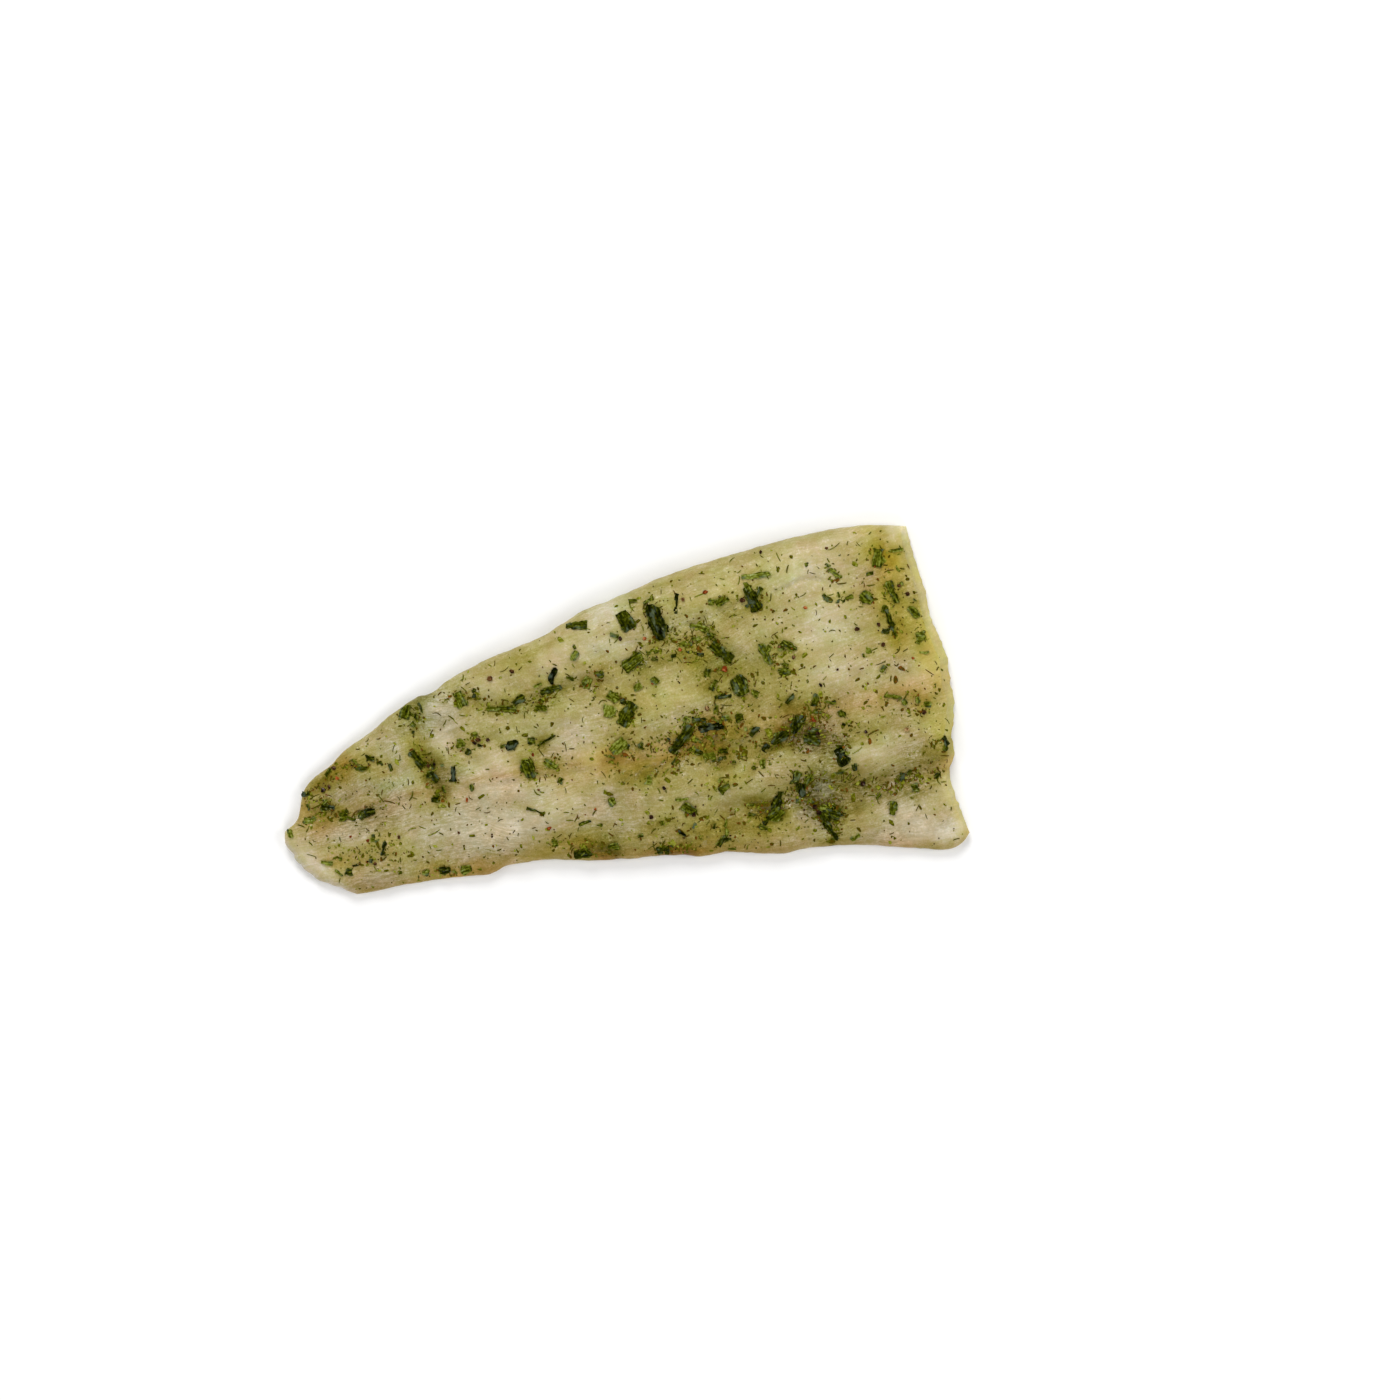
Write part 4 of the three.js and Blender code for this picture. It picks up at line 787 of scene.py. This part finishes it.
tints = shade + 0.1 * np.abs(v) ** 4 - 0.05
TOP_LIFT = 0.3  # of the largest leaves, which lie on the others
lifts = seed.uniform(0, TOP_LIFT, len(leaves) - len(LARGE_LEAVES))
lifts = np.concatenate([np.full(len(LARGE_LEAVES), TOP_LIFT), lifts])
leaf = strewn("leaves", points, slab, leaves[:, 0], leaves[:, 1], np.radians(leaves[:, 4]), lifts, tints)
lay = np.stack([along + 9 * number, across + 5 * number, np.zeros_like(along)], axis=-1) * mm
store(leaf.data, "lay", "FLOAT_VECTOR", lay)

# The oil that seeps from each leaf stains the flesh round it.
SEEP_REACH, SEEP, SEEP_LIMIT = 1, 0.16, 0.3
stains = [
    (x, y, length / 2 + SEEP_REACH, width / 2 + SEEP_REACH, SEEP, turn)
    for x, y, length, width, turn, _ in leaves
]
seeped = np.minimum(patches(stains, *flat_flesh), SEEP_LIMIT)
pigments += seeped[:, None] * (1, 0.4, 0)
store(flesh.data, "pigment", "FLOAT_VECTOR", pigments)

# The colours of a herb from its darkest part, at 0, to its palest, at 1: place, red, green and blue.
LEAF_STOPS = [(0, 8, 10, 1), (0.25, 29, 34, 2), (0.5, 56, 60, 3), (0.75, 93, 99, 20), (1, 131, 139, 60)]
# Painted reflection: the grey-green of the room seen in the wet film on a leaf, mixed into its colour.
PAINTED_SHEEN = srgb(102, 116, 94)  # where the wet film on a leaf shows the room


def herb_paint(name, stops, rough, contrast=1.6, veined=False):
    """Oiled leaf: a colour to each piece, with a finer mottle, or veins and a painted reflection, and a wet
    gloss.
    """
    paint, signal, shader = material(name, coat_roughness=0.12, specular_ior_level=0)
    where = signal.node("ShaderNodeTexCoord", {}, {}, output=3)
    tint = signal.node("ShaderNodeAttribute", {"attribute_name": "tint"}, {}, output=2)
    mottle = signal.noise(where, 1000, detail=3)
    if veined:
        lay = signal.node("ShaderNodeAttribute", {"attribute_name": "lay"}, {}, output=1)
        mottle = mottle * 0.5 + signal.noise(lay, 1500, stretch=(0.16, 1, 1), detail=2) * 0.5
    stops = [(place, srgb(*colour)) for place, *colour in stops]
    colour = signal.node("ShaderNodeValToRGB", {"stops": stops}, {"Fac": tint + (mottle - 0.5) * contrast})
    if veined:
        # Painted reflection: patches of the leaf take the colour of the room seen in its wet film.
        painted_sheen = signal.noise(lay, 520, stretch=(0.5, 1, 1), detail=3).between(0.53, 0.68) * 0.42
        colour = painted_sheen.mix(colour, PAINTED_SHEEN)
    bump = signal.node("ShaderNodeBump", {}, {"Strength": 0.6, "Distance": 0.25 * mm, "Height": mottle})
    film, dull = mottle.between(0.54, 0.64) * 0.4, rough + mottle * 0.15
    feed(paint, shader, base_color=colour, roughness=dull, coat_weight=film, normal=bump)
    return paint


leaf.data.materials.append(herb_paint("wilted_leaf", LEAF_STOPS, 0.2, 2.6, veined=True))
leaf.data.shade_smooth()
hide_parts("cod_fillet")

# ---- The dill
# Needles of dill and thin chive, cut to 2 to 7 mm, green going to olive in the oil. Each is a
# tapered four-sided thread with a bend of its own.

DILL = 660
x, y = strewn_places(DILL, 0.15, 1.6)
STATIONS = 6
ring = np.array([(0, 1), (-1, 0), (0, -1), (1, 0)])
along = np.linspace(-1, 1, STATIONS)
length = seed.gamma(2.4, 0.5, DILL)[:, None, None] + 0.9
width = seed.uniform(0.13, 0.26, DILL)[:, None, None]
bend = seed.normal(0, 0.09, DILL)[:, None, None]
u = along[None, :, None] * length / 2 + 0 * ring[None, None, :, 0]
taper = np.sqrt(1 - along[None, :, None] ** 2 * 0.6)
v = ring[None, None, :, 0] * width * taper + bend * length * (along[None, :, None] ** 2)
w = ring[None, None, :, 1] * width * taper * 0.8
points = np.stack(np.broadcast_arrays(u, v, w), axis=-1).reshape(DILL, STATIONS * 4, 3)
sides = [
    (4 * a + k, 4 * a + (k + 1) % 4, 4 * a + 4 + (k + 1) % 4, 4 * a + 4 + k)
    for a in range(STATIONS - 1) for k in range(4)
]
ends = [(3, 2, 1, 0), tuple(4 * (STATIONS - 1) + k for k in range(4))]
tints = seed.beta(1.6, 2, (DILL, 1)) - 0.1 * patches(GATHERED_AND_GLEAMS, x, y)[:, None]
turns, lifts = seed.uniform(0, 2 * np.pi, DILL), seed.uniform(0.05, 0.2, DILL)
dill = strewn("dill", points, np.array(sides + ends), x, y, turns, lifts, tints)
DILL_STOPS = [(0, 88, 60, 6), (0.3, 72, 68, 2), (0.65, 90, 93, 8), (1, 134, 138, 36)]
dill.data.materials.append(herb_paint("dill", DILL_STOPS, 0.3))
dill.data.shade_smooth()

# ---- The herb crumbs
# What the knife made of the rest: chips of leaf and stalk about a millimetre across, from bright
# green to nearly brown, half sunk in the oil.

CRUMBS = 3800
x, y = strewn_places(CRUMBS, 0.06, 0.5)
points, faces = shape_of(bpy.ops.mesh.primitive_ico_sphere_add, subdivisions=1, radius=1)
rough = seed.uniform(0.55, 1.25, (CRUMBS, len(points), 1))
size = seed.gamma(2.4, 0.13, CRUMBS)[:, None] + 0.13
scale = np.stack([size * seed.uniform(0.8, 1.7, size.shape), size * 0.8, 0.08 + size * 0.16], axis=-1)
tints = seed.beta(1.3, 1.6, (CRUMBS, 1)) + 0.1 - 0.1 * patches(GATHERED_AND_GLEAMS, x, y)[:, None]
turns = seed.uniform(0, 2 * np.pi, CRUMBS)
lifts = seed.uniform(0, 0.12, CRUMBS)
crumbs = strewn("herb_crumbs", points[None] * rough * scale, faces, x, y, turns, lifts, tints)
CRUMB_STOPS = [(0, 112, 68, 16), (0.15, 76, 56, 6), (0.4, 74, 71, 4), (0.7, 98, 100, 12), (1, 140, 142, 46)]
crumbs.data.materials.append(herb_paint("herb_crumb", CRUMB_STOPS, 0.3))

# ---- The pepper
# Cracked black peppercorn: a few grains of two millimetres, dark with a paler broken side, and many
# splinters and specks under one.

PEPPER = [
    (-104.2, 18.2), (-106.7, 17.7), (-101, 24.4), (-47.2, 20.7), (-43.7, 19.7), (-48.7, 20), (-28.7, 41.5),
    (-37.2, 41.2), (-95.2, -13.3), (-62.7, -10.1), (-84.2, -6.1), (21.7, -25.8), (13.7, -13.8),
    (12.4, 42.7), (58.9, 44.7), (67.4, 25), (71.4, 20), (36.4, 10.2), (84.1, -31.1), (104.4, -16.1),
    (89.9, -13.1), (112.2, -11.6), (38.1, 50.7), (93.4, 55.2), (69.9, 60.2), (96.4, 23.8), (104.4, 23.5),
    (117.4, 31.5), (115.2, 35.2), (78.4, 7.6), (104.2, 16), (6.4, -22.8), (-67.5, 16.4), (-65.2, 16.2),
    (65, -34.6), (65.8, -37.2), (70.6, -6.6), (72.8, -9),
]
SPECKS = 420
x, y = strewn_places(SPECKS, 0.1, 0.4)
x, y = np.concatenate([np.array(PEPPER)[:, 0], x]), np.concatenate([np.array(PEPPER)[:, 1], y])
count = len(x)
rough = seed.uniform(0.6, 1.2, (count, len(points), 1))
size = np.concatenate([seed.uniform(0.7, 1.2, len(PEPPER)), seed.gamma(3, 0.045, SPECKS) + 0.12])[:, None]
scale = np.stack([size, size * seed.uniform(0.7, 1, size.shape), size * 0.75], axis=-1)
tints = seed.beta(1.2, 3, (count, 1)) + 0.25 * seed.random((count, len(points))) ** 4
pepper = strewn(
    "pepper", points[None] * rough * scale, faces, x, y, seed.uniform(0, 2 * np.pi, count),
    size[:, 0] * 0.35, tints,
)
PEPPER_STOPS = [(0, 26, 16, 12), (0.4, 62, 38, 20), (0.75, 108, 74, 40), (1, 170, 142, 96)]
pepper.data.materials.append(herb_paint("cracked_pepper", PEPPER_STOPS, 0.3))

# ---- The chilli
# A few flakes of dried red chilli, one to two millimetres across, soaked to orange at their edges.
# Each is a flattened lump like a crumb.

CHILLI = [
    (46.4, 22.5, 1.5), (-29.2, 10.2, 1), (46.4, 51.2, 1.2), (20.9, 40.5, 1), (-30.5, -17.1, 1.1),
    (80.4, 36.2, 1), (32.4, 33.5, 0.9), (72.6, -4, 1.2), (19.6, 24, 0.7), (-100.6, 20.4, 1),
    (-56.8, 0.6, 0.9), (-101.4, -1.4, 0.7), (108.6, 44.2, 0.7), (113.4, 8.4, 0.7), (-12.4, -14.6, 0.7),
    (-95.6, -4.4, 0.8),
]
x, y, size = np.array(CHILLI).T
rough = seed.uniform(0.6, 1.2, (len(x), len(points), 1))
scale = np.stack([size, size * seed.uniform(0.6, 0.9, len(x)), size * 0.35], axis=-1)[:, None]
chilli = strewn(
    "chilli", points[None] * rough * scale, faces, x, y, seed.uniform(0, 2 * np.pi, len(x)), size * 0.2,
    seed.uniform(0.3, 0.7, (len(x), 1)),
)
CHILLI_STOPS = [(0, 70, 26, 10), (0.4, 112, 48, 16), (0.7, 150, 78, 34), (1, 186, 124, 70)]
chilli.data.materials.append(herb_paint("dried_chilli", CHILLI_STOPS, 0.3))
